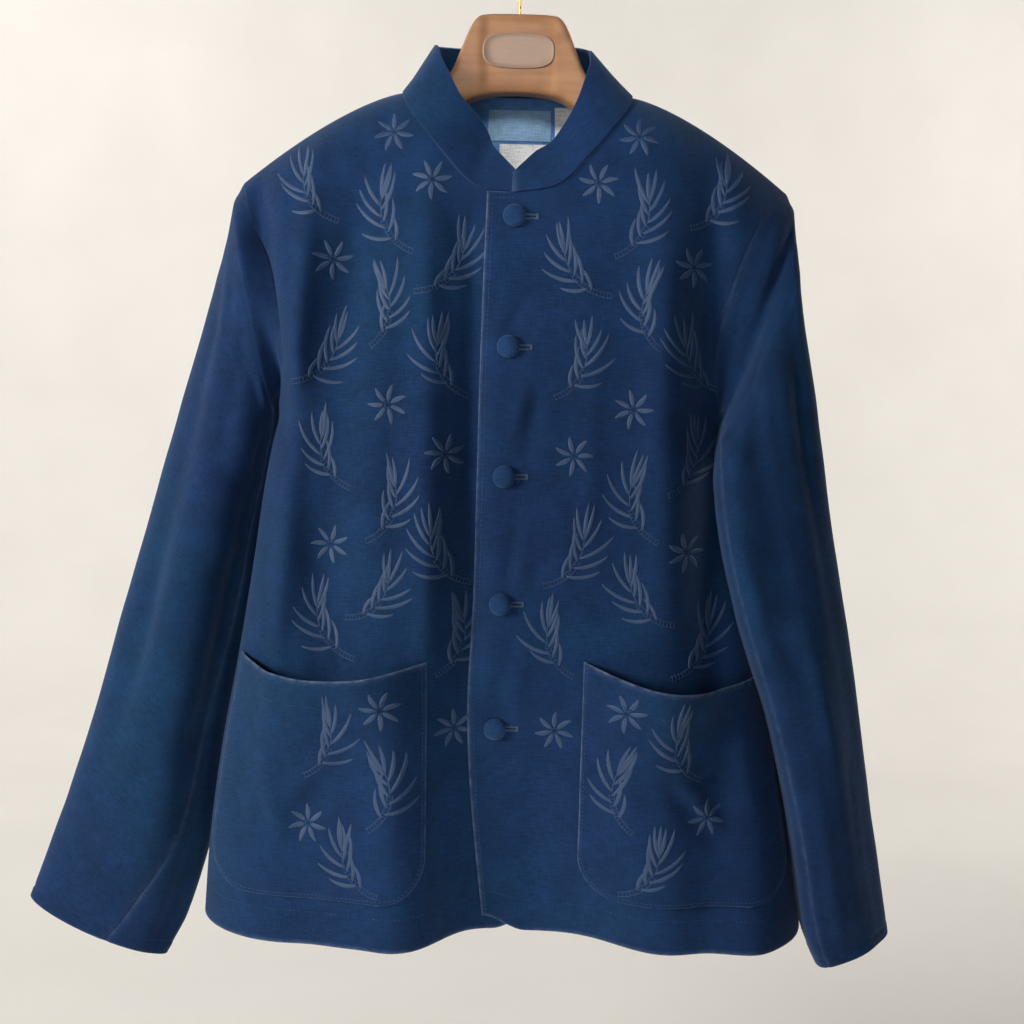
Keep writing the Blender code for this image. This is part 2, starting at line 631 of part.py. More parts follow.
def make_pocket(name, side, finish):
    rows = np.linspace(0, 1, POCKET_ROWS + 1) ** POCKET_ROW_CLOSING
    a, b = np.meshgrid(np.linspace(0, 1, POCKET_COLUMNS + 1), rows)
    inner_top, outer_top = POCKET_TOP_Z[side]
    top = inner_top + (outer_top - inner_top) * a - POCKET_SAG * np.sin(math.pi * a)
    z = POCKET_BOTTOM_Z + (top - POCKET_BOTTOM_Z) * b
    above = np.clip(z - POCKET_BOTTOM_Z, 0.0, POCKET_CORNER)
    inset = POCKET_CORNER - np.sqrt(POCKET_CORNER ** 2 - (POCKET_CORNER - above) ** 2)
    outer_x = half_width(side, z) * POCKET_SIDE_SHARE[side]
    x = side * (POCKET_INNER_X + inset + (outer_x - POCKET_INNER_X - 2 * inset) * a)

    def depth(px, pz):
        return front_y(side, px, pz)

    normals = height_field_normals(depth, x, z, -1)
    opening = np.clip((b - POCKET_GAPE_FROM) / (1 - POCKET_GAPE_FROM), 0.0, 1.0) ** 2
    out = POCKET_GAPE * opening * np.sin(math.pi * a)
    out = out + POCKET_FULLNESS * np.sin(math.pi * a) * np.sin(math.pi * b)
    inner = points(x, depth(x, z) - out, z) + POCKET_GAP * normals
    return lofted_wall(name, inner + CLOTH * normals, inner, finish)


def back_inside(x, z, offset):
    """A point behind the back's inside face, with its normal towards the front."""
    normals = height_field_normals(back_y, x, z, 1)
    return points(x, back_y(x, z), z) - (CLOTH + offset) * normals


def make_facing(finish):
    a, b = np.meshgrid(np.linspace(-1, 1, 11), np.linspace(0, 1, 7))
    top = NECK_POINT_Z + BACK_NECK_RISE - FACING_BELOW_EDGE
    z = FACING_BOTTOM_Z + (top - FACING_BOTTOM_Z) * b
    x = a * (FACING_HALF_LOW + (FACING_HALF_TOP - FACING_HALF_LOW) * b)
    return lofted_wall("back_facing", back_inside(x, z, FACING_GAP),
                       back_inside(x, z, FACING_GAP + FACING_CLOTH), finish)


def make_label(name, x_middle, z_middle, width, height, finish):
    a, b = np.meshgrid(np.linspace(-0.5, 0.5, 5), np.linspace(-0.5, 0.5, 4))
    x, z = x_middle + width * a, z_middle + height * b
    start = FACING_GAP + FACING_CLOTH + LAID_ON
    return lofted_wall(name, back_inside(x, z, start), back_inside(x, z, start + LABEL_CLOTH), finish)


def make_button(name, z, finish):
    """A turned dome on a short shank, seated on the lapped front and facing along its normal."""
    dome = np.radians(np.linspace(0, 90, 6))
    rim = SHANK_LENGTH + BUTTON_RIM
    profile = [(BUTTON_RADIUS * math.sin(t), rim + BUTTON_DOME * math.cos(t)) for t in dome]
    profile += [(BUTTON_RADIUS * BUTTON_WAIST, SHANK_LENGTH + BUTTON_RIM * BUTTON_WAIST_RISE)]
    profile += [(SHANK_RADIUS, SHANK_LENGTH)]
    profile += [(SHANK_RADIUS, 0.0), (0.0, 0.0)]
    mesh = bpy.data.meshes.new(name)
    edges = [(i, i + 1) for i in range(len(profile) - 1)]
    mesh.from_pydata([(radius, 0.0, height) for radius, height in profile], edges, [])
    button = add_object(name, mesh, finish)
    screw = button.modifiers.new("turned", "SCREW")
    screw.steps = screw.render_steps = BUTTON_STEPS
    screw.use_merge_vertices = True
    screw.merge_threshold = 0.00001
    screw.use_smooth_shade = True
    x = np.array(centre_front(z))

    def depth(px, pz):
        return front_y(LEFT, px, pz)

    normal = height_field_normals(depth, x, np.array(z), -1)
    seat = points(x, depth(x, z), z) + SEAM * normal
    button.location = seat
    button.rotation_euler = Vector(normal).to_track_quat("Z", "Y").to_euler()
    return button


# Hanger and hook

def hanger_sections():
    """Sections from the middle outwards: x, top, bottom, half depth and squareness."""
    sections = list(zip(*HANGER_NECK.values()))
    reach = HANGER_ARM_X[-1] - HANGER_ARM_X[0]
    for x in HANGER_ARM_X:
        share = (x - HANGER_ARM_X[0]) / reach
        clear = HANGER_NECK_CLEAR + (HANGER_CLEAR - HANGER_NECK_CLEAR) * min(1.0, 3 * share)
        top = float(ridge_z(x)) - clear
        deep = HANGER_ARM_DEEP + (HANGER_ARM_THIN - HANGER_ARM_DEEP) * share
        depth = HANGER_ARM_HALF_DEPTH + (HANGER_TIP_HALF_DEPTH - HANGER_ARM_HALF_DEPTH) * share
        sections.append((x, top, top - deep, depth, HANGER_ARM_SQUARE))
    x, top, bottom, depth, square = sections[-1]
    sections.append((x + HANGER_END_LENGTH, top - HANGER_END_DROP, bottom + HANGER_END_RISE,
                     depth * HANGER_END_THIN, square))
    return sections


def make_hanger(finish):
    half = hanger_sections()
    mirrored = [(-x, *rest) for x, *rest in half[:0:-1]]
    shape = bmesh.new()
    turn = np.arange(HANGER_SIDES) * 2 * math.pi / HANGER_SIDES
    cosine, sine = np.cos(turn), np.sin(turn)
    rings = []
    for x, top, bottom, depth, square in mirrored + half:
        y = depth * np.sign(cosine) * np.abs(cosine) ** (2 / square)
        z = (top + bottom) / 2 + (top - bottom) / 2 * np.sign(sine) * np.abs(sine) ** (2 / square)
        rings.append([shape.verts.new((x, *place)) for place in zip(y, z)])
    for ring, following in zip(rings, rings[1:]):
        for j in range(HANGER_SIDES):
            k = (j + 1) % HANGER_SIDES
            shape.faces.new((ring[j], ring[k], following[k], following[j]))
    shape.faces.new(rings[0])
    shape.faces.new(rings[-1])
    return mesh_object("hanger", shape, finish)


def make_plate(finish):
    """A blank oval plate on the front of the hanger's neck."""
    face_y = -HANGER_NECK["half_depth"][0] - SEAM
    shape = bmesh.new()
    bmesh.ops.create_cone(shape, cap_ends=True, segments=32, radius1=0.5, radius2=0.5, depth=1.0)
    for vert in shape.verts:
        x, y, z = vert.co
        vert.co = (x * PLATE_WIDTH, face_y - PLATE_THICK * (0.5 + z), PLATE_Z + y * PLATE_HEIGHT)
    return mesh_object("hanger_plate", shape, finish)


def make_hook(finish):
    """One bent wire: a crook round the rail, swept back to a straight stem over the hanger."""
    radius = CROOK_RADIUS + WIRE_RADIUS
    angles = np.radians(np.linspace(CROOK_TO_DEG, CROOK_FROM_DEG, CROOK_STEPS + 1))
    route = [(radius * math.cos(t), -CROOK_RADIUS + radius * math.sin(t)) for t in angles]
    stem_bottom = HANGER_NECK["top_z"][0] + SEAM
    route += [*HOOK_SWEEP, (0.0, stem_bottom)]
    wire = bpy.data.curves.new("hook", "CURVE")
    wire.dimensions = "3D"
    wire.bevel_depth = WIRE_RADIUS
    wire.bevel_resolution = 2
    wire.use_fill_caps = True
    spline = wire.splines.new("POLY")
    spline.points.add(len(route) - 1)
    for point, (x, z) in zip(spline.points, route):
        point.co = (x, 0.0, z, 1.0)
    return add_object("hook", wire, finish)


def main():
    for thing in list(bpy.data.objects):
        bpy.data.objects.remove(thing, do_unlink=True)
    collection = bpy.data.collections.new("mandarin_collar_jacket")
    bpy.context.scene.collection.children.link(collection)

    indigo = material("indigo_cloth", (0.012, 0.022, 0.075), 0.85)
    lighter = material("facing_cloth", (0.040, 0.110, 0.330), 0.85)
    blue_label = material("label_blue", (0.130, 0.260, 0.420), 0.70)
    white_label = material("label_white", (0.800, 0.820, 0.840), 0.70)
    wood = material("hanger_brown", (0.320, 0.160, 0.090), 0.40)
    badge = material("plate_brown", (0.220, 0.150, 0.110), 0.45)
    brass = material("brass_wire", (0.780, 0.560, 0.260), 0.30, 1.0)

    for name, side in (("right", RIGHT), ("left", LEFT)):
        make_front(f"front_{name}", side, indigo)
        make_sleeve(f"sleeve_{name}", side, indigo)
        make_pocket(f"pocket_{name}", side, indigo)
    make_back(indigo)
    make_collar(indigo)
    make_facing(lighter)
    for label in LABELS:
        make_label(*label, blue_label if label[0] == "label_main" else white_label)
    for i in range(BUTTON_COUNT):
        make_button(f"button_{i + 1}", BUTTON_TOP_Z - i * BUTTON_PITCH, indigo)
    make_hanger(wood)
    make_plate(badge)
    make_hook(brass)


main()
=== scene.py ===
"""The looks of the mandarin collar jacket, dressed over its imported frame.

Metres, +Z up, in the frame's own place: the front faces -Y and the wearer's left side is at +X. The
cloth follows sections close to those of the solids, more finely, with its creases, sewing and weave.
"""
import functools
import math

import bmesh
import bpy
import numpy as np
from mathutils import Matrix, Vector


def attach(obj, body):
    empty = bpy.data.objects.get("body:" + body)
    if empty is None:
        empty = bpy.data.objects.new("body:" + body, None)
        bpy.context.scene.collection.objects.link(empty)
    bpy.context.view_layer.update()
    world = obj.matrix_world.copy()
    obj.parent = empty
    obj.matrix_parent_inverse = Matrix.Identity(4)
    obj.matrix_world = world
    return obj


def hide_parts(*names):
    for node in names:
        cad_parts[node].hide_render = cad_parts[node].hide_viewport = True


LEFT, RIGHT = 1, -1
SIDES = {"right": RIGHT, "left": LEFT}
ROOT = "root"


def table(columns, *rows):
    """A small table as one array for each named column."""
    return {name: np.array(values) for name, values in zip(columns.split(), zip(*rows))}


# Thicknesses and clearances
CLOTH = 0.0016
COLLAR_CLOTH = 0.0024
FACING_CLOTH = 0.0010
LABEL_CLOTH = 0.0010
SEAM = -0.0006
ARMHOLE_TUCK = -0.0014
LAID_ON = 0.0009
FACING_GAP = 0.0010
UNDERLAP, UNDERLAP_FROM, UNDERLAP_SPAN = 0.0034, -0.075, 0.045

# Main heights and reaches of the hanging jacket
HEM_Z = -0.800
UNDERARM_Z = -0.385
ARMHOLE_FREE = 0.050
FRONT_NECK_Z = -0.208
NECK_POINT_X, NECK_POINT_Z = 0.090, -0.124
TIP_X, TIP_Z = 0.2195, -0.198
SHOULDER_BEND = 1.4
FRONT_ROLL, BACK_ROLL = 0.075, 0.045
BACK_NECK_RISE = 0.009
BACK_RIDGE_RISE = 0.030
EXTENSION = 0.0215
HEM_CORNER, HEM_CORNER_RISE = 0.035, 0.013
BACK_ARMHOLE_OUT = 0.007

# Powers and rates at which relief fades to the side, the front's recess closes and edges bend
SIDE_FADE, RECESS_SQUARE = 6, 4
HEM_CORNER_FADE, BEND_RISE, BACK_EDGE_PULL = 3, 3, 4

# Body sections from the hem up
BODY = table(
    "z right_half left_half front back recess right_square left_square back_square",
    (-0.800, 0.250, 0.2525, 0.092, 0.058, 0.046, 4.4, 7.0, 2.8),
    (-0.740, 0.246, 0.2495, 0.090, 0.058, 0.037, 4.4, 4.8, 2.8),
    (-0.660, 0.236, 0.236, 0.086, 0.057, 0.024, 4.4, 3.4, 2.8),
    (-0.580, 0.222, 0.223, 0.081, 0.055, 0.014, 4.6, 3.0, 2.8),
    (-0.500, 0.2095, 0.203, 0.076, 0.053, 0.008, 5.0, 3.2, 3.2),
    (-0.440, 0.2010, 0.186, 0.073, 0.052, 0.004, 5.4, 3.7, 3.8),
    (-0.405, 0.1945, 0.181, 0.071, 0.051, 0.003, 5.6, 4.1, 4.2),
    (-0.385, 0.190, 0.174, 0.070, 0.051, 0.002, 5.8, 4.4, 4.6),
    (-0.340, 0.208, 0.194, 0.067, 0.050, 0.000, 5.2, 3.7, 3.6),
    (-0.290, 0.234, 0.224, 0.063, 0.049, 0.000, 4.4, 3.1, 2.8),
    (-0.230, 0.250, 0.246, 0.059, 0.048, 0.000, 3.7, 3.0, 2.6),
    (-0.120, 0.256, 0.256, 0.053, 0.046, 0.000, 3.0, 3.0, 2.6),
)
RECESS_REACH = {RIGHT: 0.058, LEFT: 0.092}
CENTRE_FRONT = table(
    "z x",
    (-0.800, 0.007),
    (-0.730, 0.000),
    (-0.670, -0.005),
    (-0.615, -0.0075),
    (-0.530, -0.005),
    (-0.430, -0.004),
    (-0.330, -0.003),
    (-0.211, 0.000),
)
NECK_CORNER, NECK_START = 6 / 12, 7 / 12
NECKLINE = table(
    "share x z",
    (7 / 12, -0.0020, -0.2080),
    (8 / 12, 0.0325, -0.2015),
    (9 / 12, 0.0550, -0.1795),
    (10 / 12, 0.0720, -0.1585),
    (11 / 12, 0.0855, -0.1385),
    (12 / 12, 0.0900, -0.1240),
)
ARMHOLE = table(
    "z right_x left_x",
    (-0.385, 0.1890, 0.1700),
    (-0.345, 0.1815, 0.1620),
    (-0.300, 0.1855, 0.1660),
    (-0.258, 0.1955, 0.1770),
    (-0.231, 0.2085, 0.1890),
    (-0.210, 0.2155, 0.2020),
    (-0.198, 0.2195, 0.2195),
)

# Largest folds
FOLD_COLUMNS = "x_top z_top x_low z_low half_width height"
FOLD_FADE = 0.070
FRONT_FOLDS = table(
    FOLD_COLUMNS,
    (-0.158, -0.200, -0.186, -0.590, 0.015, 0.006),
    (-0.130, -0.225, -0.149, -0.590, 0.017, -0.006),
    (-0.096, -0.180, -0.094, -0.560, 0.020, 0.003),
    (-0.068, -0.190, -0.058, -0.600, 0.016, 0.006),
    (-0.029, -0.250, -0.027, -0.620, 0.012, -0.005),
    (-0.090, -0.560, -0.084, -0.880, 0.020, 0.006),
    (-0.150, -0.620, -0.152, -0.880, 0.026, -0.005),
    (0.148, -0.240, 0.166, -0.590, 0.017, -0.007),
    (0.116, -0.200, 0.130, -0.590, 0.018, 0.005),
    (0.086, -0.230, 0.082, -0.590, 0.015, -0.004),
    (0.054, -0.220, 0.042, -0.540, 0.016, 0.004),
    (0.160, -0.580, 0.166, -0.880, 0.022, -0.007),
    (0.205, -0.620, 0.212, -0.880, 0.018, 0.006),
)
BACK_FOLDS = table(
    FOLD_COLUMNS,
    (-0.150, -0.300, -0.180, -0.720, 0.022, -0.006),
    (-0.104, -0.260, -0.128, -0.900, 0.028, 0.007),
    (-0.030, -0.330, -0.040, -0.900, 0.030, -0.005),
    (0.052, -0.280, 0.058, -0.900, 0.030, 0.005),
    (0.112, -0.300, 0.122, -0.900, 0.026, -0.006),
    (0.148, -0.300, 0.176, -0.760, 0.022, 0.005),
)

# Creases, listed one by one: from one place to another, how far they bow, half width and height
CREASE_COLUMNS = "x_from z_from x_to z_to bow half_width height"
FRONT_CREASES = table(
    CREASE_COLUMNS,
    (-0.147, -0.080, -0.192, -0.740, 0.003, 0.009, 0.0050),
    (-0.208, -0.170, -0.176, -0.440, 0.000, 0.010, -0.0150),
    (-0.144, -0.420, -0.150, -0.660, 0.000, 0.020, -0.0060),
    (-0.112, -0.100, -0.134, -0.740, 0.002, 0.019, -0.0055),
    (-0.144, -0.240, -0.160, -0.575, 0.002, 0.008, -0.0016),
    (-0.112, -0.300, -0.120, -0.520, -0.004, 0.009, 0.0012),
    (-0.106, -0.185, -0.112, -0.330, 0.002, 0.007, 0.0014),
    (-0.086, -0.285, -0.090, -0.545, 0.003, 0.009, -0.0014),
    (-0.066, -0.100, -0.056, -0.760, 0.002, 0.012, 0.0034),
    (-0.058, -0.222, -0.034, -0.305, 0.002, 0.008, 0.0019),
    (-0.032, -0.120, -0.027, -0.780, 0.001, 0.009, -0.0036),
    (-0.102, -0.142, -0.100, -0.182, 0.000, 0.005, -0.0020),
    (-0.152, -0.176, -0.122, -0.214, 0.003, 0.008, -0.0014),
    (-0.188, -0.345, -0.150, -0.326, 0.002, 0.006, -0.0014),
    (-0.186, -0.372, -0.146, -0.366, 0.002, 0.006, 0.0014),
    (0.016, -0.287, -0.010, -0.325, 0.002, 0.005, -0.0017),
    (0.032, -0.300, 0.004, -0.345, 0.002, 0.006, 0.0012),
    (0.016, -0.335, 0.002, -0.410, 0.002, 0.006, 0.0015),
    (0.026, -0.345, 0.012, -0.425, 0.002, 0.006, -0.0013),
    (0.008, -0.440, -0.004, -0.520, -0.003, 0.006, -0.0015),
    (0.018, -0.455, 0.008, -0.535, 0.002, 0.006, 0.0013),
    (0.008, -0.545, -0.008, -0.618, 0.002, 0.006, -0.0015),
    (0.020, -0.555, 0.008, -0.640, 0.003, 0.007, 0.0014),
    (0.002, -0.655, -0.004, -0.780, 0.003, 0.008, 0.0014),
    (0.030, -0.640, 0.022, -0.785, 0.004, 0.010, -0.0018),
    (0.050, -0.660, 0.046, -0.790, -0.003, 0.010, 0.0018),
    (-0.040, -0.630, -0.034, -0.785, 0.003, 0.009, 0.0018),
    (0.148, -0.080, 0.178, -0.760, 0.002, 0.013, -0.0075),
    (0.110, -0.080, 0.130, -0.740, 0.003, 0.022, 0.0045),
    (0.136, -0.240, 0.138, -0.400, 0.003, 0.008, -0.0022),
    (0.100, -0.300, 0.104, -0.545, -0.003, 0.010, -0.0014),
    (0.086, -0.215, 0.082, -0.600, 0.001, 0.014, 0.0036),
    (0.053, -0.210, 0.042, -0.560, 0.001, 0.014, -0.0032),
    (0.070, -0.280, 0.066, -0.525, 0.004, 0.008, 0.0010),
    (0.150, -0.180, 0.122, -0.222, -0.003, 0.008, -0.0013),
    (0.102, -0.150, 0.098, -0.196, 0.000, 0.006, 0.0014),
    (0.168, -0.300, 0.140, -0.282, 0.002, 0.006, -0.0014),
)
BACK_CREASES = table(
    CREASE_COLUMNS,
    (-0.176, -0.330, -0.120, -0.300, 0.004, 0.008, -0.0020),
    (-0.172, -0.360, -0.112, -0.350, 0.004, 0.008, 0.0018),
    (0.162, -0.330, 0.112, -0.302, -0.004, 0.008, -0.0020),
    (0.160, -0.362, 0.106, -0.350, -0.004, 0.008, 0.0018),
    (-0.128, -0.380, -0.150, -0.640, 0.006, 0.012, 0.0026),
    (-0.080, -0.300, -0.090, -0.560, -0.005, 0.012, -0.0022),
    (-0.060, -0.480, -0.066, -0.770, 0.004, 0.013, 0.0024),
    (-0.006, -0.290, -0.010, -0.520, 0.003, 0.011, 0.0018),
    (0.012, -0.500, 0.014, -0.780, -0.004, 0.013, -0.0022),
    (0.082, -0.330, 0.090, -0.600, 0.005, 0.012, -0.0022),
    (0.140, -0.420, 0.160, -0.700, -0.005, 0.012, 0.0026),
    (0.100, -0.600, 0.098, -0.785, 0.003, 0.012, 0.0020),
    (-0.180, -0.560, -0.196, -0.770, 0.004, 0.014, -0.0022),
    (0.196, -0.580, 0.208, -0.770, 0.004, 0.014, -0.0022),
    (-0.060, -0.180, 0.060, -0.186, -0.010, 0.008, -0.0012),
    (-0.110, -0.210, -0.040, -0.236, -0.006, 0.009, 0.0012),
    (0.112, -0.212, 0.040, -0.238, 0.006, 0.009, 0.0012),
)
POCKET_CREASES = table(
    CREASE_COLUMNS,
    (0.128, -0.640, 0.182, -0.712, 0.003, 0.006, 0.0026),
    (0.120, -0.650, 0.172, -0.722, 0.003, 0.007, -0.0020),
    (0.132, -0.664, 0.176, -0.656, 0.002, 0.005, -0.0020),
    (0.190, -0.600, 0.200, -0.700, 0.003, 0.008, 0.0018),
    (0.090, -0.600, 0.098, -0.720, -0.004, 0.010, 0.0012),
    (-0.186, -0.630, -0.170, -0.722, 0.004, 0.008, 0.0024),
    (-0.090, -0.610, -0.176, -0.736, 0.005, 0.008, -0.0020),
    (-0.110, -0.612, -0.190, -0.700, -0.004, 0.009, 0.0020),
    (-0.204, -0.600, -0.206, -0.740, 0.003, 0.008, -0.0014),
    (-0.080, -0.620, -0.084, -0.740, 0.003, 0.009, 0.0014),
)
CREASE_END, CREASE_UNEVEN, CREASE_WAVES = 0.3, 0.3, 9.0

# Sleeve sections, seams, folds and creases, by degrees round the sleeve and rows down it
SECTION_COLUMNS = "outer_x outer_z inner_x inner_z edge_y to_front to_back twist_deg"
TURNED_FOLD_COLUMNS = "angle_deg half_angle_deg from_row to_row height"
TURNED_CREASE_COLUMNS = "degrees_from row_from degrees_to row_to bow half_width height"
SLEEVE = {
    RIGHT: table(
        SECTION_COLUMNS,
        (0.2265, -0.2150, 0.1895, -0.3860, -0.004, 0.038, 0.038, 0.0),
        (0.2370, -0.2560, 0.1890, -0.3990, 0.004, 0.042, 0.042, 0.0),
        (0.2520, -0.3000, 0.1925, -0.4250, 0.015, 0.048, 0.040, 0.0),
        (0.2740, -0.3740, 0.2020, -0.4700, 0.021, 0.050, 0.040, 0.0),
        (0.2985, -0.4570, 0.2110, -0.5200, 0.021, 0.048, 0.040, 0.0),
        (0.3225, -0.5420, 0.2215, -0.5780, 0.021, 0.045, 0.040, 0.0),
        (0.3465, -0.6270, 0.2380, -0.6560, 0.021, 0.040, 0.040, -6.0),
        (0.3745, -0.7140, 0.2495, -0.7440, 0.021, 0.035, 0.035, -22.0),
        (0.3960, -0.7760, 0.2705, -0.8160, 0.017, 0.028, 0.028, -40.0),
        (0.4050, -0.8025, 0.2885, -0.8520, 0.014, 0.024, 0.024, -48.0),
    ),
    LEFT: table(
        SECTION_COLUMNS,
        (0.2240, -0.2130, 0.1695, -0.3860, -0.008, 0.037, 0.038, 0.0),
        (0.2260, -0.2500, 0.1665, -0.3950, -0.024, 0.038, 0.037, 0.0),
        (0.2275, -0.2900, 0.1630, -0.4120, -0.045, 0.034, 0.027, 0.0),
        (0.2375, -0.3630, 0.1610, -0.4400, -0.059, 0.033, 0.022, 0.0),
        (0.2495, -0.4420, 0.1680, -0.4850, -0.066, 0.036, 0.022, 0.0),
        (0.2640, -0.5215, 0.1820, -0.5400, -0.067, 0.038, 0.026, 0.0),
        (0.2805, -0.6020, 0.2090, -0.6170, -0.060, 0.040, 0.034, 0.0),
        (0.2965, -0.6860, 0.2300, -0.7000, -0.051, 0.041, 0.038, -4.0),
        (0.3130, -0.7650, 0.2455, -0.7840, -0.042, 0.038, 0.036, -8.0),
        (0.3190, -0.7950, 0.2570, -0.8150, -0.037, 0.036, 0.036, -10.0),
    ),
}
SLEEVE_FRONT_SEAM_DEG, SLEEVE_BACK_SEAM_DEG = 150, 270
SLEEVE_ROUNDNESS = {RIGHT: 1.0, LEFT: 0.5}
SLEEVE_TILT = {RIGHT: 0.0, LEFT: 0.018}
SLEEVE_FOLDS = {
    RIGHT: table(
        TURNED_FOLD_COLUMNS,
        (58.0, 20.0, 0.0, 6.5, -0.004),
        (112.0, 22.0, 1.0, 8.0, 0.004),
        (152.0, 16.0, 4.0, 9.5, -0.003),
        (262.0, 26.0, 1.0, 8.0, -0.004),
    ),
    LEFT: table(
        TURNED_FOLD_COLUMNS,
        (62.0, 20.0, 3.0, 9.5, 0.003),
        (88.0, 18.0, 0.5, 6.0, -0.004),
        (126.0, 18.0, 1.0, 6.0, 0.004),
        (270.0, 26.0, 1.0, 8.0, 0.004),
    ),
}
SLEEVE_FOLD_FADE = 1.5
SLEEVE_DEGREE, SLEEVE_ROW, SLEEVE_SEAM_EASE = 0.0008, 0.085, 0.6
SLEEVE_CREASES = {
    RIGHT: table(
        TURNED_CREASE_COLUMNS,
        (82.0, 0.2, 98.0, 9.2, 0.000, 0.020, 0.0055),
        (146.0, -0.4, 132.0, 7.6, 0.000, 0.013, -0.0060),
        (92.0, -0.64, 178.0, -0.56, 0.000, 0.026, -0.0120),
        (40.0, 0.3, 70.0, 3.2, 0.004, 0.009, 0.0022),
        (84.0, 0.3, 92.0, 3.6, 0.003, 0.008, -0.0022),
        (128.0, 0.4, 118.0, 3.0, 0.003, 0.008, 0.0020),
        (150.0, 1.6, 84.0, 3.4, 0.006, 0.009, -0.0016),
        (146.0, 3.2, 70.0, 4.8, 0.006, 0.010, 0.0018),
        (60.0, 3.6, 52.0, 7.2, 0.004, 0.010, -0.0016),
        (112.0, 4.6, 100.0, 8.0, 0.004, 0.010, 0.0018),
        (134.0, 5.6, 76.0, 7.0, 0.006, 0.010, -0.0014),
        (84.0, 6.6, 66.0, 8.8, 0.003, 0.010, 0.0014),
        (200.0, 1.0, 250.0, 3.4, 0.006, 0.010, 0.0020),
        (300.0, 0.6, 280.0, 4.0, 0.006, 0.012, -0.0022),
        (240.0, 3.8, 320.0, 5.4, 0.006, 0.012, 0.0020),
        (270.0, 5.6, 284.0, 8.6, 0.004, 0.012, -0.0020),
    ),
    LEFT: table(
        TURNED_CREASE_COLUMNS,
        (150.0, -1.5, 148.0, 10.5, 0.000, 0.020, 0.0050),
        (90.0, -0.4, 88.0, 7.4, 0.000, 0.014, 0.0040),
        (48.0, -1.5, 50.0, 11.0, 0.000, 0.024, -0.0045),
        (10.0, -0.40, 225.0, -0.40, 0.000, 0.022, 0.0055),
        (150.0, 0.8, 118.0, 2.2, 0.004, 0.006, -0.0020),
        (148.0, 1.4, 112.0, 2.9, 0.004, 0.006, 0.0018),
        (156.0, 2.2, 126.0, 4.0, 0.003, 0.006, -0.0018),
        (136.0, 2.6, 124.0, 5.4, 0.003, 0.007, 0.0020),
        (104.0, 0.6, 98.0, 4.4, 0.004, 0.008, -0.0018),
        (70.0, 0.6, 66.0, 3.6, 0.003, 0.008, 0.0020),
        (44.0, 1.6, 48.0, 5.6, 0.004, 0.009, -0.0016),
        (84.0, 3.4, 78.0, 7.0, 0.004, 0.009, 0.0016),
        (132.0, 4.6, 70.0, 6.0, 0.006, 0.010, -0.0014),
        (112.0, 5.6, 104.0, 8.8, 0.004, 0.010, 0.0018),
        (60.0, 6.0, 64.0, 8.8, 0.004, 0.010, -0.0014),
        (220.0, 1.0, 260.0, 3.4, 0.006, 0.010, 0.0016),
        (300.0, 0.6, 286.0, 4.0, 0.006, 0.012, -0.0020),
        (240.0, 4.0, 310.0, 5.6, 0.006, 0.012, 0.0018),
        (276.0, 5.6, 286.0, 8.6, 0.004, 0.012, -0.0018),
    ),
}

# Collar by share of the neckline from the centre front (0) to the centre back (1)
COLLAR = table(
    "share right_height left_height right_lean left_lean",
    (0.00, 0.0160, 0.0160, 14.0, 14.0),
    (0.09, 0.0340, 0.0325, 26.0, 24.0),
    (0.16, 0.0435, 0.0345, 37.0, 29.0),
    (0.24, 0.0445, 0.0360, 41.0, 31.0),
    (0.32, 0.0420, 0.0400, 39.0, 34.0),
    (0.42, 0.0445, 0.0455, 38.0, 38.5),
    (0.58, 0.0445, 0.0480, 35.0, 45.0),
    (0.78, 0.0380, 0.0420, 19.0, 26.0),
    (1.00, 0.0330, 0.0340, 12.0, 12.0),
)
COLLAR_AXIS_Y = -0.005
COLLAR_UNEVEN, COLLAR_FLAT_FOOT = 0.6, 0.3

# Patch pockets
POCKET_GAP = 0.0016
POCKET_INNER_X = 0.062
POCKET_BOTTOM_Z = -0.762
POCKET_TOP_Z = {RIGHT: (-0.572, -0.576), LEFT: (-0.571, -0.583)}
POCKET_CORNER = 0.034
POCKET_SIDE_SHARE = {RIGHT: 0.955, LEFT: 0.920}
POCKET_SAG = 0.011
POCKET_GAPE = 0.030
POCKET_GAPE_FROM = 0.30
POCKET_FULLNESS = 0.003
POCKET_ROW_CLOSING = 1.6
POCKET_FLAT_EDGE, MOUTH_FLAT_END = 0.12, 0.05

# Neck facing and its blank labels
FACING_HALF_TOP, FACING_HALF_LOW = 0.058, 0.050
FACING_BOTTOM_Z, FACING_BELOW_EDGE = -0.196, 0.0015
LABEL_CURL = 0.0006
LABELS = (
    ("label_main", "label_blue", 0.002, -0.139, 0.052, 0.026),
    ("label_size", "label_white", 0.005, -0.168, 0.038, 0.026),
    ("label_tab", "label_white", 0.0395, -0.136, 0.015, 0.026),
)

# Covered buttons and their buttonholes
BUTTON_COUNT = 5
BUTTON_TOP_Z, BUTTON_PITCH = -0.2265, 0.1002
BUTTON_RADIUS, BUTTON_DOME, BUTTON_RIM = 0.0088, 0.0042, 0.0022
SHANK_RADIUS, SHANK_LENGTH = 0.0040, 0.0012
BUTTON_SIDES = 48
DOME_FROM_DEG, DOME_STEPS, DOME_SQUARE = 2, 14, 0.92
TUCK_FROM_DEG, TUCK_STEPS, TUCK_IN, TUCK_DOWN = 12, 7, 0.32, 0.8
HOLE_FROM, HOLE_TO = -0.003, 0.0170
HOLE_HALF, HOLE_STITCH, HOLE_PITCH, HOLE_JITTER = 0.0006, 0.0016, 0.00062, (-0.15, 0.25)
HOLE_THREAD_HALF, HOLE_THREAD_HEIGHT = 0.00030, 0.00045
BAR_THREADS, BAR_PITCH, BAR_THREAD_HALF, BAR_THREAD_HEIGHT = 4, 0.00045, 0.00032, 0.0006

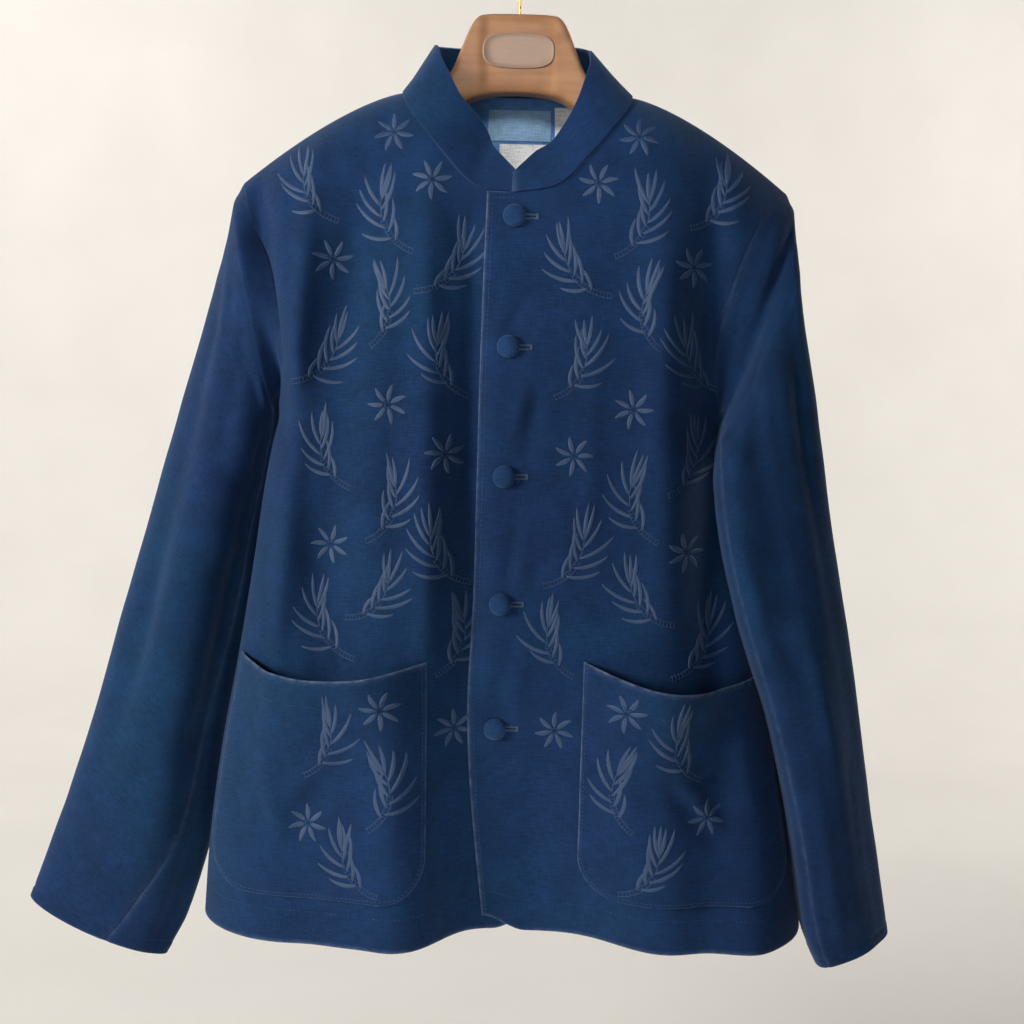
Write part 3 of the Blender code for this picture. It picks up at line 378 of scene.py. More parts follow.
# Hanger and hook
HANGER_NECK = table(
    "x top_z bottom_z half_depth squareness",
    (0.000, -0.0616, -0.1230, 0.0116, 6.0),
    (0.014, -0.0617, -0.1237, 0.0116, 6.0),
    (0.0265, -0.0624, -0.1254, 0.0117, 6.0),
    (0.031, -0.0636, -0.1266, 0.0136, 6.0),
    (0.036, -0.0680, -0.1285, 0.0142, 5.0),
    (0.040, -0.0755, -0.1308, 0.0144, 5.0),
    (0.044, -0.0850, -0.1335, 0.0146, 4.5),
    (0.052, -0.1040, -0.1400, 0.0149, 4.0),
    (0.064, -0.1190, -0.1490, 0.0153, 3.5),
    (0.080, -0.1275, -0.1580, 0.0160, 3.0),
)
HANGER_ARM_X = (0.092, 0.110, 0.130, 0.150, 0.170, 0.190, 0.202)
HANGER_ARM_DEEP, HANGER_ARM_THIN = 0.038, 0.030
HANGER_ARM_HALF_DEPTH, HANGER_TIP_HALF_DEPTH = 0.0165, 0.0125
HANGER_ARM_SQUARE = 2.0
HANGER_CLEAR, HANGER_NECK_CLEAR, HANGER_CLEAR_RISE = 0.0043, 0.0050, 3
HANGER_END_LENGTH, HANGER_END_DROP, HANGER_END_RISE, HANGER_END_THIN = 0.005, 0.009, 0.005, 0.6
HANGER_SIDES, HANGER_STEPS = 64, 90
PLATE_WIDTH, PLATE_HEIGHT, PLATE_THICK, PLATE_Z = 0.0575, 0.0275, 0.0024, -0.0915
PLATE_SQUARENESS, PLATE_SIDES = 3.0, 96
PLATE_RINGS = ((1.0, 0.0), (1.0, 0.75), (0.985, 0.95), (0.965, 1.0), (0.945, 0.95), (0.93, 0.72),
               (0.70, 0.80), (0.40, 0.86), (0.10, 0.88))
WIRE_RADIUS, WIRE_RESOLUTION = 0.0017, 5
CROOK_RADIUS = 0.017
CROOK_FROM_DEG, CROOK_TO_DEG, CROOK_STEPS = -40.0, 200.0, 48
HOOK_SWEEP = ((0.0075, -0.0345), (0.0022, -0.0400), (0.0, -0.0460))

# Grids of the cloth, fine enough for its creases
FRONT_COLUMNS, BACK_SHOULDER_COLUMNS, BACK_NECK_COLUMNS = 76, 40, 50
LOWER_ROWS, UPPER_ROWS = 120, 72
SLEEVE_COLUMNS, SLEEVE_ROWS, SLEEVE_HEAD_ROWS = 96, 170, 6
COLLAR_ROWS, COLLAR_FRONT_COLUMNS = 14, 40
POCKET_COLUMNS, POCKET_ROWS = 60, 60
FACING_COLUMNS, FACING_ROWS = 40, 30
LABEL_COLUMNS, LABEL_ROWS = 24, 16
EDGE_STEPS = (0.0, 0.005, 0.014)
HEM_ROWS, MOUTH_ROWS, CUFF_ROWS = (0.0, 0.0035, 0.009), (0.992, 1.0), (0.05, 0.018, 0.0)
BACK_NECK_SHARE = 0.4
NAPE_SHARES = np.linspace(-BACK_NECK_SHARE, BACK_NECK_SHARE, BACK_NECK_COLUMNS + 1)
EVEN_SHARE = 0.7
GRID_END = 1.001
STEP = 1e-4

# Turned hems: their depth, how far they stand proud and how they ripple along the stitching
HEM_DEPTH, HEM_STEP, HEM_EASE = 0.026, 0.0007, 0.003
CUFF_DEPTH = 0.024
MOUTH_DEPTH = 0.022
RIPPLE_PITCH, RIPPLE = 0.017, 0.0004

# Edges of cloth grids, in the order low, high, first and last: how they wear, round and draw in at a seam
EDGES = (np.s_[0], np.s_[-1], np.s_[:, 0], np.s_[:, -1])
EDGES_BESIDE = (np.s_[1], np.s_[-2], np.s_[:, 1], np.s_[:, -2])
EDGE_ROUND, SEWN, SEAM_DIP = 0.35, 0.6, 0.0005
OPEN_WEAR, SEAM_WEAR, WEAR_BESIDE = 1.0, 0.3, 0.25
ALL_OPEN = (OPEN_WEAR, OPEN_WEAR, OPEN_WEAR, OPEN_WEAR)
CUFF_OPEN = (SEAM_WEAR, OPEN_WEAR, SEAM_WEAR, SEAM_WEAR)
FACING_OPEN = (OPEN_WEAR, SEAM_WEAR, OPEN_WEAR, OPEN_WEAR)

# Cloths: thickness, flat cut of what shows (width, length and area, from the pattern), wear, slot and hold
HUNG = ("indigo_cloth", "hung")
FRONT_PIECE = (CLOTH, (0.345, 0.730, 0.171), (OPEN_WEAR, SEAM_WEAR, OPEN_WEAR, SEAM_WEAR), *HUNG)
BACK_PIECE = (CLOTH, (0.545, 0.695, 0.291), (OPEN_WEAR, SEAM_WEAR, SEAM_WEAR, SEAM_WEAR), *HUNG)
SLEEVE_PIECES = {
    "top": (CLOTH, (0.250, 0.630, 0.122), CUFF_OPEN, *HUNG),
    "under": (CLOTH, (0.140, 0.575, 0.050), CUFF_OPEN, *HUNG),
}
COLLAR_PIECE = (COLLAR_CLOTH, (0.530, 0.045, 0.0175), (0.0, SEAM_WEAR, SEAM_WEAR, SEAM_WEAR), *HUNG)
POCKET_PIECE = (CLOTH, (0.195, 0.190, 0.0345), ALL_OPEN, *HUNG)
FACING_PIECE = (FACING_CLOTH, (0.116, 0.080, 0.0086), FACING_OPEN, "facing_cloth", "laid")

# Sections of raised thread as shares of its half width and height, and rows of stitches
THREAD = ((-1.0, -0.6), (0.0, 1.0), (1.0, -0.6))
SATIN = ((-1.0, -0.5), (-0.55, 1.0), (0.0, 0.55), (0.55, 1.0), (1.0, -0.5))
STITCH_PITCH, STITCH_LENGTH, STITCH_HALF, STITCH_HEIGHT = 0.0034, 0.0025, 0.00032, 0.00035
STITCH_SWELL = (0.35, 1.0, 1.0, 0.35)
EDGE_STITCH, SIDE_CLEAR, HEM_CORNER_STITCH = 0.0045, 0.97, 0.6
HEM_PATH_POINTS, EDGE_PATH_POINTS = 240, 200
POCKET_STITCH, POCKET_SIDE_POINTS, POCKET_PATH_POINTS = 0.0028, 160, 300
MOUTH_STITCH_FROM, MOUTH_STITCH_UP, MOUTH_POINTS = 0.02, 0.9, 160
CUFF_STITCH_END, COLLAR_STITCH_END, COLLAR_STITCH = 0.004, 0.006, 0.004

# Embroidery: leafy boughs with laddered stems and small blossoms, in a half drop
SPRIG_COLUMNS = (0.050, 0.095, 0.140)
SPRIG_PITCH, SPRIG_TOP_Z, SPRIG_ROWS = 0.074, -0.114, 10
SPRIG_TILTS = (38.0, -26.0, -48.0, 30.0, -14.0)
SPRIG_NUDGES = ((0.0, 0.0), (-0.006, 0.003), (0.007, 0.003), (-0.010, 0.004), (0.012, 0.004), (0.0, 0.014),
                (0.0, -0.012), (-0.016, 0.012), (0.014, -0.012), (-0.012, -0.014), (0.020, 0.014),
                (0.024, 0.004), (0.030, -0.004), (0.016, -0.018), (0.022, -0.022))
SPRIG_LENGTH, SPRIG_BEND = 0.050, 84.0
SPRIG_SIZES = (1.05, 0.95, 1.12)
SPRIG_CLEAR, SPRIG_THINNED = 0.0022, 5
SHOULDER_MARGIN, EDGE_MARGIN, POCKET_MARGIN = 0.008, 0.006, 0.003
STEM_POINTS, STEM_BACK = 40, 0.7
LADDER_FROM, LADDER_SHARE, LADDER_HALF, RUNG_PITCH = 0.02, 0.66, 0.0019, 0.0028
RAIL_HALF, RAIL_HEIGHT = 0.00045, 0.0004
STEM_HALF, RUNG_HALF = 1.6 * RAIL_HALF, 0.8 * RAIL_HALF
BLOSSOM_EVERY = 3
PETALS, PETAL_FROM, PETAL_LENGTH, PETAL_HALF, PETAL_BEND = 7, 0.0030, 0.0135, 0.0024, 24.0
BLOSSOM_RING, BLOSSOM_RING_DEG, BLOSSOM_RING_POINTS = 0.8 * PETAL_FROM, 345, 16
LEAVES = table(
    "share turn_deg bend_deg length",
    (0.30, 60.0, -50.0, 0.0200),
    (0.36, -58.0, 48.0, 0.0220),
    (0.46, 55.0, -46.0, 0.0250),
    (0.52, -52.0, 44.0, 0.0265),
    (0.62, 48.0, -42.0, 0.0275),
    (0.68, -46.0, 40.0, 0.0280),
    (0.78, 40.0, -38.0, 0.0270),
    (0.84, -36.0, 32.0, 0.0260),
    (0.93, 25.0, -26.0, 0.0245),
    (0.96, -20.0, 18.0, 0.0230),
    (1.00, 2.0, -8.0, 0.0215),
)
LEAF_HALF, LEAF_HEIGHT, LEAF_POINTS = 0.0019, 0.0004, 11
LEAF_TIP, LEAF_LEAN, LEAF_FULLNESS = 0.04, 0.8, 0.7
LEAF_TURN_SPREAD, LEAF_LENGTH_SPREAD = 9.0, 0.16

# Finishes: colours, sheen, places on colour ramps, stretch of grains, range of noise and pitch of weave
INDIGO_PATCHES = ((0.0062, 0.0245, 0.082), (0.0056, 0.0258, 0.081), (0.0048, 0.0285, 0.080))
INDIGO_WORN = (0.13, 0.18, 0.28)
INDIGO_NAP = (0.34, 0.46, 0.66)
# Facing blues: the facing's dye made lighter, as painted light where the collar and hanger shade the neck
FACING_DYE_AND_PAINTED_LIGHT = ((0.090, 0.220, 0.540), (0.100, 0.245, 0.575), (0.110, 0.270, 0.610))
FACING_WORN = (0.12, 0.22, 0.42)
BUTTON_PATCHES = ((0.010, 0.036, 0.110), (0.009, 0.038, 0.108), (0.008, 0.041, 0.106))
# Blue label: its dye made lighter, as painted light for the shaded inside of the neck
LABEL_DYE_AND_PAINTED_LIGHT = ((0.24, 0.42, 0.64), (0.26, 0.44, 0.66), (0.28, 0.46, 0.68))
LABEL_BLUE_EDGE = (0.40, 0.53, 0.68)
LABEL_WHITES = ((0.92, 0.93, 0.95), (0.94, 0.95, 0.97), (0.96, 0.97, 0.98))
LABEL_WHITE_EDGE = (0.97, 0.97, 0.98)
WOOD_BROWNS = ((0.255, 0.120, 0.058), (0.310, 0.158, 0.080), (0.360, 0.192, 0.102))
PLATE_BROWNS = ((0.275, 0.188, 0.138), (0.325, 0.226, 0.168))
BRASS_YELLOWS = ((0.62, 0.41, 0.17), (0.84, 0.62, 0.31))
FLOOR_TONES = ((0.80, 0.775, 0.74), (0.84, 0.815, 0.78))
# Thread blues, dark then light: the light blue is painted sheen and highlight on the raised thread
EMBROIDERY_BLUES = ((0.014, 0.038, 0.100), (0.045, 0.082, 0.160))
SEWING_BLUES = ((0.018, 0.045, 0.100), (0.050, 0.090, 0.165))
BUTTONHOLE_BLUES = ((0.050, 0.095, 0.160), (0.150, 0.215, 0.290))
INDIGO_SHEEN, BUTTON_SHEEN, FACING_SHEEN, LABEL_SHEEN = 0.26, 0.45, 0.10, 0.05
PATCH_PLACES, GRAIN_PLACES, TONE_PLACES = (0.36, 0.50, 0.64), (0.34, 0.50, 0.66), (0.3, 0.7)
CROSS_SLUBS, DOWN_SLUBS = (90.0, 900.0, 1.0), (900.0, 110.0, 1.0)
SATIN_STRANDS, WOOD_GRAIN, BRUSHING = (2.0, 2600.0, 1.0), (14.0, 160.0, 160.0), (60.0, 60.0, 2400.0)
NOISE_LOW, NOISE_HIGH = 0.25, 0.75
WEAVE_PITCH = 0.0009

# Backdrop, lights (place, aim, size, power, spread and colour) and camera
FLOOR_Z, FLOOR_FRONT, FLOOR_BACK, FLOOR_HALF = -1.25, -6.0, 2.2, 7.0
SWEEP_RADIUS, SWEEP_STEPS, BACKDROP_TOP = 1.6, 24, 3.0
AIM = Vector((0.0, 0.0, -0.46))
NECK_AIM = Vector((0.0, 0.0, -0.13))
HEM_AIM = Vector((-0.07, -0.05, -0.74))
BACKDROP_AIM = Vector((0.0, 3.8, -0.4))
LIGHTS = (
    ("key", (-1.55, -1.00, -0.05), AIM, 0.7, 36.0, 180.0, (1.0, 0.97, 0.93)),
    ("fill", (-0.3, -2.4, -0.4), AIM, 1.6, 11.5, 180.0, (0.94, 0.97, 1.0)),
    ("neck", (0.05, -1.5, 0.30), NECK_AIM, 0.3, 0.17, 18.0, (1.0, 0.98, 0.95)),
    ("hem", (0.45, -1.5, -0.85), HEM_AIM, 0.3, 0.09, 18.0, (1.0, 0.98, 0.95)),
    ("back_left", (-2.4, 1.4, 1.4), BACKDROP_AIM, 1.6, 70.0, 180.0, (1.0, 0.975, 0.94)),
    ("back_right", (2.8, 1.4, 1.0), BACKDROP_AIM, 1.6, 62.0, 180.0, (1.0, 0.975, 0.94)),
)
WORLD_COLOUR, WORLD_STRENGTH = (0.92, 0.90, 0.87, 1.0), 0.04
CAMERA_PLACE = (0.00268, -1.102, -0.35663)
CAMERA_PITCH_DEG, CAMERA_ROLL_DEG, CAMERA_LENS, CAMERA_SENSOR = 5.4, 1.25, 46.9, 36.0

# Small unevenness of hanging cloth: plane waves of seeded direction, length and phase
WAVE_COUNT, WAVE_SHORT, WAVE_LONG, WAVE_SLOPE = 16, 0.030, 0.150, 0.0042
RANDOM = np.random.default_rng(11)
WAVE_ANGLES = RANDOM.uniform(0, 2 * math.pi, WAVE_COUNT)
WAVE_LENGTHS = RANDOM.uniform(WAVE_SHORT, WAVE_LONG, WAVE_COUNT)
WAVE_PHASES = RANDOM.uniform(0, 2 * math.pi, WAVE_COUNT)


# Numbers

def hermite(t, start, end, leave, arrive):
    """A cubic from start to end, with its slope at both."""
    first = start * (1 + 2 * t) * (1 - t) ** 2 + leave * t * (1 - t) ** 2
    return first + (end * t ** 2 * (3 - 2 * t) + arrive * t ** 2 * (t - 1))


def smooth(knots, values, at):
    """A cubic through a column's values at its knots, level outside them."""
    slopes = np.gradient(values, knots)
    at = np.clip(at, knots[0], knots[-1])
    k = np.clip(np.searchsorted(knots, at) - 1, 0, len(knots) - 2)
    span = knots[k + 1] - knots[k]
    return hermite((at - knots[k]) / span, values[k], values[k + 1], slopes[k] * span, slopes[k + 1] * span)


def read(rows, column, at, key="z"):
    return smooth(rows[key], rows[column], at)


def sided(rows, column, x, at, key="z"):
    """A table's left or right column, by the side that x is on."""
    return np.where(x > 0, read(rows, f"left_{column}", at, key), read(rows, f"right_{column}", at, key))


def between(low, high, share):
    return low + (high - low) * share


def ease(t):
    """0 to 1 with level ends."""
    t = np.clip(t, 0.0, 1.0)
    return t * t * (3 - 2 * t)


def glide(t):
    """0 to 1 along half a cosine."""
    return (1 - np.cos(math.pi * t)) / 2


def fade(at, start, end, length):
    """1 between two ends, easing to 0 over a length at each."""
    return ease((at - start) / length) * ease((end - at) / length)


def bell(x):
    return np.exp(-x ** 2)


def unit(vectors):
    return vectors / np.linalg.norm(vectors, axis=-1, keepdims=True)


def points(*columns):
    return np.stack(np.broadcast_arrays(*columns), axis=-1)


def edged(count):
    """Shares from 0 to 1 with a few close together at both ends."""
    near = np.array(EDGE_STEPS)
    middle = np.linspace(near[-1], 1 - near[-1], count + 1)
    return np.concatenate([near[:-1], middle, 1 - near[:-1][::-1]])


# Creases

def creases(rows, p, q):
    """Soft uneven troughs and ridges that bow a little and die out at both ends."""
    total = np.zeros_like(p)
    for p_from, q_from, p_to, q_to, bow, width, height in zip(*rows.values()):
        length = math.hypot(p_to - p_from, q_to - q_from)
        way_p, way_q = (p_to - p_from) / length, (q_to - q_from) / length
        t = ((p - p_from) * way_p + (q - q_from) * way_q) / length
        off = (p - p_from) * way_q - (q - q_from) * way_p - bow * (1 - (2 * t - 1) ** 2)
        swell = 1 + CREASE_UNEVEN * np.sin(CREASE_WAVES * t + p_from / width)
        total = total + height * swell * fade(t, 0, 1, CREASE_END) * bell(off / width)
    return total


def unevenness(p, q):
    total = 0.0
    for angle, length, phase in zip(WAVE_ANGLES, WAVE_LENGTHS, WAVE_PHASES):
        run = p * math.cos(angle) + q * math.sin(angle)
        total = total + length * np.sin(2 * math.pi * run / length + phase)
    return WAVE_SLOPE * total / math.sqrt(WAVE_COUNT)


def turned_hem(along, above, depth):
    """A doubled edge that stands proud up to its stitching, where it ripples."""
    from_stitching = (depth - above) / HEM_EASE
    ripple = RIPPLE * np.sin(2 * math.pi * along / RIPPLE_PITCH) * bell(from_stitching)
    return HEM_STEP * ease(from_stitching) + ripple


# Body surface

def body(column, z):
    return read(BODY, column, z)


def half_width(side, z):
    return sided(BODY, "half", side, z)


def centre_front(z):
    return read(CENTRE_FRONT, "x", z)


def ridge_z(x):
    """Height of the shoulder line, level across the neck."""
    share = np.clip((np.abs(x) - NECK_POINT_X) / (TIP_X - NECK_POINT_X), 0.0, 1.0)
    return between(NECK_POINT_Z, TIP_Z, share ** SHOULDER_BEND)


def roll(below_ridge, length):
    """How far cloth has come out over the shoulder, from 0 on the ridge to 1 a length below it."""
    return np.sqrt(1 - (1 - np.clip(below_ridge / length, 0.0, 1.0)) ** 2)


def fold_height(folds, x, z):
    total = np.zeros_like(x)
    for x_top, z_top, x_low, z_low, width, height in zip(*folds.values()):
        middle = x_low + (x_top - x_low) * (z - z_low) / (z_top - z_low)
        total = total + height * fade(z, z_low, z_top, FOLD_FADE) * bell((x - middle) / width)
    return total


def front_y(side, x, z):
    """Depth of a front at a place in the front view."""
    x, z = np.broadcast_arrays(np.asarray(x, float), np.asarray(z, float))
    across = np.clip(np.abs(x) / half_width(x, z), 0.0, 1.0)
    rounding = np.sqrt(1 - across ** sided(BODY, "square", x, z))
    below = ridge_z(x) - z
    reach = body("front", z) * rounding * roll(below, FRONT_ROLL)
    from_centre = x - centre_front(z)
    recess_reach = np.where(from_centre > 0, RECESS_REACH[LEFT], RECESS_REACH[RIGHT])
    recess = body("recess", z) * np.exp(-(from_centre / recess_reach) ** RECESS_SQUARE)
    relief = fold_height(FRONT_FOLDS, x, z) * ease(below / FOLD_FADE)
    fine = creases(FRONT_CREASES, x, z) + unevenness(x, z) + turned_hem(x, z - HEM_Z, HEM_DEPTH)
    at_side = across ** SIDE_FADE * ease((UNDERARM_Z - z) / ARMHOLE_FREE + 1)
    relief = (relief + fine * ease(below / HEM_DEPTH)) * (1 - at_side)
    under = UNDERLAP * ease((from_centre - UNDERLAP_FROM) / UNDERLAP_SPAN) if side == RIGHT else 0.0
    return -reach + recess - relief + under


def back_y(x, z):
    """Depth of the back at a place in the front view."""
    x, z = np.broadcast_arrays(np.asarray(x, float), np.asarray(z, float))
    across = np.clip(np.abs(x) / half_width(x, z), 0.0, 1.0)
    rounding = np.sqrt(1 - across ** body("back_square", z))
    inside_neck = np.cos(np.clip(x / NECK_POINT_X, -1, 1) * math.pi / 2)
    below = ridge_z(x) + BACK_RIDGE_RISE * inside_neck - z
    fine = creases(BACK_CREASES, x, z) + unevenness(-x, z) + turned_hem(x, z - HEM_Z, HEM_DEPTH)
    relief = fold_height(BACK_FOLDS, x, z) + fine * ease((below - BACK_RIDGE_RISE) / HEM_DEPTH)
    return body("back", z) * rounding * roll(below, BACK_ROLL) + relief * (1 - across ** SIDE_FADE)


def armhole(side, share, out=0.0):
    """Armhole edge in the front view, from the underarm (0) to the shoulder tip (1)."""
    z = between(UNDERARM_Z, TIP_Z, glide(share))
    return side * (sided(ARMHOLE, "x", side, z) + out * np.sin(math.pi * share) ** 2), z


def spread(u):
    """Even columns that close up where the cloth turns into the side."""
    closing = 1 - EVEN_SHARE
    slope = 1 / (EVEN_SHARE + closing * 2 / math.pi)
    turn = np.sin(np.clip((u - EVEN_SHARE) / closing, 0.0, 1.0) * math.pi / 2)
    return slope * (np.minimum(u, EVEN_SHARE) + closing * 2 / math.pi * turn)


def neck_edge(side, share):
    """Inner edge of a front above the underarm: the front edge, its top corner, then the neckline."""
    shares = (0, NECK_CORNER, NECK_START)
    edge_x = np.interp(share, shares, (-EXTENSION, -EXTENSION, NECKLINE["x"][0]))
    edge_z = np.interp(share, shares, (UNDERARM_Z, FRONT_NECK_Z, FRONT_NECK_Z))
    on_neckline = share > NECK_START
    x = np.where(on_neckline, read(NECKLINE, "x", share, "share"), edge_x)
    z = np.where(on_neckline, read(NECKLINE, "z", share, "share"), edge_z)
    return side * x + centre_front(z), z


def hem_corner(from_edge):
    """How far the hem curves up towards the front edge."""
    return HEM_CORNER_RISE * ease(1 - np.abs(from_edge) / HEM_CORNER)


def front_point(side, u, v):
    """A front by u from its front edge to its side, and v from hem (0) to underarm (1) to shoulder (2)."""
    u, v = np.clip(u, 0.0, 1.0), np.clip(v, 0.0, 2.0)
    level = between(HEM_Z, UNDERARM_Z, np.minimum(v, 1.0))
    edge_x = centre_front(level) - side * EXTENSION
    low_x = between(edge_x, side * half_width(side, level), spread(u))
    low_z = level + hem_corner(low_x - edge_x) * np.clip(1 - HEM_CORNER_FADE * v, 0.0, 1.0)
    share = np.clip(v - 1, 0.0, 1.0)
    inner_x, inner_z = neck_edge(side, share)
    outer_x, outer_z = armhole(side, share)
    across = between(spread(u), u, ease(share))
    bend = ridge_z(between(NECK_POINT_X, TIP_X, u)) - between(NECK_POINT_Z, TIP_Z, u)
    x = np.where(v <= 1, low_x, between(inner_x, outer_x, across))
    z = np.where(v <= 1, low_z, between(inner_z, outer_z, across) + bend * share ** BEND_RISE)
    return points(x, front_y(side, x, z), z)


def back_point(u, v):
    """The back by u from its right side (-1) to its left (1), and v as on the fronts."""
    u, v = np.clip(u, -1.0, 1.0), np.clip(v, 0.0, 2.0)
    out, sign = np.abs(u), np.sign(u)
    share = np.clip(v - 1, 0.0, 1.0)
    rise = glide(share)
    level = between(HEM_Z, UNDERARM_Z, np.minimum(v, 1.0))
    low_x = sign * half_width(u, level) * spread(out)
    on_shoulder = (out - BACK_NECK_SHARE) / (1 - BACK_NECK_SHARE)
    top_x = NECK_POINT_X * np.minimum(out / BACK_NECK_SHARE, 1.0)
    top_x = top_x + (TIP_X - NECK_POINT_X) * np.maximum(on_shoulder, 0.0)
    top_z = ridge_z(top_x) + BACK_NECK_RISE * np.maximum(1 - (out / BACK_NECK_SHARE) ** 2, 0.0)
    edge_x = np.abs(armhole(np.where(u > 0, LEFT, RIGHT), share, BACK_ARMHOLE_OUT)[0])
    straight_x = between(half_width(u, UNDERARM_Z), TIP_X, rise)
    high_x = between(low_x, sign * top_x, rise) + sign * (edge_x - straight_x) * out ** BACK_EDGE_PULL
    x = np.where(v <= 1, low_x, high_x)
    z = np.where(v <= 1, level, between(UNDERARM_Z, top_z, rise))
    return points(x, back_y(x, z), z)


def height_surface(depth, turn):
    """Places and normals of a depth over the front view; turn is -1 where it faces the front."""
    def surface(x, z):
        slope_x = (depth(x + STEP, z) - depth(x - STEP, z)) / (2 * STEP)
        slope_z = (depth(x, z + STEP) - depth(x, z - STEP)) / (2 * STEP)
        normals = unit(points(-turn * slope_x, turn * np.ones_like(x), -turn * slope_z))
        return points(x, depth(x, z), z), normals
    return surface


front_surfaces = {side: height_surface(functools.partial(front_y, side), -1) for side in SIDES.values()}
back_surface = height_surface(back_y, 1)


# Meshes

def add_object(name, data, finish):
    thing = bpy.data.objects.new(name, data)
    data.materials.append(finish)
    bpy.context.scene.collection.objects.link(thing)
    return thing


def quads(index):
    """Faces between the neighbours of a grid of vertex numbers."""
    corners = index[:-1, :-1], index[:-1, 1:], index[1:, 1:], index[1:, :-1]
    return np.stack(corners, axis=-1).reshape(-1, 4).tolist()


def closed_mesh(name, verts, faces, uv, finish, wear=None):
    """A smooth closed mesh with its faces out, a UV in metres and, on cloth, its wear."""
    shape = bmesh.new()
    mesh = bpy.data.meshes.new(name)
    mesh.from_pydata(verts.tolist(), [], faces)
    shape.from_mesh(mesh)
    bmesh.ops.recalc_face_normals(shape, faces=shape.faces[:])
    shape.to_mesh(mesh)
    shape.free()
    mesh.shade_smooth()
    corners = np.zeros(len(mesh.loops), np.int32)
    mesh.loops.foreach_get("vertex_index", corners)
    mesh.uv_layers.new(name="UVMap").data.foreach_set("uv", uv[corners].astype(np.float32).ravel())
    if wear is not None:
        mesh.attributes.new("wear", "FLOAT", "POINT").data.foreach_set("value", wear.astype(np.float32))
    return add_object(name, mesh, finish)


def tube_mesh(name, rings, uv, finish):
    """A closed form through rings of points."""
    index = np.arange(rings.shape[0] * rings.shape[1]).reshape(rings.shape[:2])
    faces = quads(np.concatenate([index, index[:, :1]], axis=1)) + [index[0].tolist(), index[-1].tolist()]
    return closed_mesh(name, rings.reshape(-1, 3), faces, uv.reshape(-1, 2), finish)


def around(sides):
    return np.arange(sides) * 2 * math.pi / sides


def squared(wave, squareness):
    """A sine or cosine that goes round a squarer ring."""
    return np.sign(wave) * np.abs(wave) ** (2 / squareness)


def grid_normals(grid, turn):
    return unit(turn * np.cross(np.gradient(grid, axis=1), np.gradient(grid, axis=0)))


def lengths(grid, axis):
    return np.linalg.norm(np.diff(grid, axis=axis), axis=-1)


def travel(grid, axis):
    """Distance run along a grid's rows or columns, from the middle one."""
    steps = lengths(grid, axis)
    run = np.concatenate([np.zeros_like(np.take(steps, [0], axis)), np.cumsum(steps, axis)], axis)
    return run - np.take(run, [grid.shape[axis] // 2], axis)


def border(rows, columns):
    """Grid places once round the edge."""
    low = [(0, j) for j in range(columns - 1)]
    right = [(i, columns - 1) for i in range(rows - 1)]
    high = [(rows - 1, j) for j in range(columns - 1, 0, -1)]
    left = [(i, 0) for i in range(rows - 1, 0, -1)]
    return np.array(low + right + high + left).T


def shell(name, outer, thickness, turn, finish, worn):
    """A closed thin shell under a grid, with rounded edges. One with wear under SEWN dips into its seam."""
    normals = grid_normals(outer, turn)
    inner = outer - thickness * normals
    outer = outer.copy()
    wear = np.zeros(outer.shape[:2])
    for edge, beside, amount in zip(EDGES, EDGES_BESIDE, worn):
        wear[edge] = np.maximum(wear[edge], amount)
        wear[beside] = np.maximum(wear[beside], amount * WEAR_BESIDE)
        if amount < SEWN:
            outer[edge] -= SEAM_DIP * normals[edge]
    rows, columns = outer.shape[:2]
    ring = border(rows, columns)
    middle = (outer + inner) / 2
    inward = middle[tuple(np.clip(ring, 1, [[rows - 2], [columns - 2]]))]
    ring = tuple(ring)
    rim = middle[ring] + unit(middle[ring] - inward) * EDGE_ROUND * thickness
    uv = points(travel(outer, 1), travel(outer, 0))
    size = rows * columns
    index = np.arange(size).reshape(rows, columns)
    loops = (index[ring], 2 * size + np.arange(len(rim)), index[ring] + size)
    loops = [np.append(loop, loop[0]) for loop in loops]
    faces = quads(index) + quads(index + size) + quads(np.stack(loops[:2])) + quads(np.stack(loops[1:]))
    verts = np.concatenate([outer.reshape(-1, 3), inner.reshape(-1, 3), rim])
    uvs = np.concatenate([uv.reshape(-1, 2), uv.reshape(-1, 2), uv[ring]])
    wears = np.concatenate([wear.ravel(), wear.ravel(), wear[ring]])
    return closed_mesh(name, verts, faces, uvs, finish, wears)


def place_piece(piece, slot, *nodes):
    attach(piece, ROOT)
    if nodes:
        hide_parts(*nodes)
    return piece


def place_cloth(node, grid, turn, cloth, also=()):
    """A cloth piece that stands for its node, which it hides along with any others given."""
    thickness, cut, worn, slot, held = cloth
    made = shell(f"{node}_cloth", grid, thickness, turn, cloth_finishes[slot], worn)
    piece = place_piece(made, slot, node, *also)


# Raised thread

def aside_of(path):
    """Directions to the left of a flat path."""
    way = unit(np.gradient(path, axis=0))
    return points(-way[:, 1], way[:, 0])


def ribbon(path, half_width, height, lanes):
    """A strip along a flat path, as places on a surface and heights over it."""
    offset, rise = np.array(lanes).T
    heights = rise * np.broadcast_to(height, len(path))[:, None]
    widths = offset * np.broadcast_to(half_width, len(path))[:, None]
    places = path[:, None] + aside_of(path)[:, None] * widths[..., None]
    return np.concatenate([places, heights[..., None]], axis=-1)


def sew(name, surface, ribbons, finish):
    """One piece of raised threads laid on a surface."""
    flat = np.concatenate([strip.reshape(-1, 3) for strip in ribbons])
    spots, normals = surface(flat[:, 0], flat[:, 1])
    faces, uvs, start = [], [], 0
    for strip in ribbons:
        rows, lanes = strip.shape[:2]
        index = start + np.arange(rows * lanes).reshape(rows, lanes)
        faces += quads(index) + quads(index[:, [0, -1]]) + [index[0].tolist(), index[-1].tolist()]
        run = travel(strip[:, lanes // 2:lanes // 2 + 1], 0)
        uvs.append(points(np.linspace(0, 1, lanes)[None], run).reshape(-1, 2))
        start += rows * lanes
    piece = closed_mesh(name, spots + flat[:, 2:] * normals, faces, np.concatenate(uvs), finish)
    return place_piece(piece, "indigo_cloth")


def distances(path):
    return np.concatenate([[0.0], np.cumsum(lengths(path, 0))])


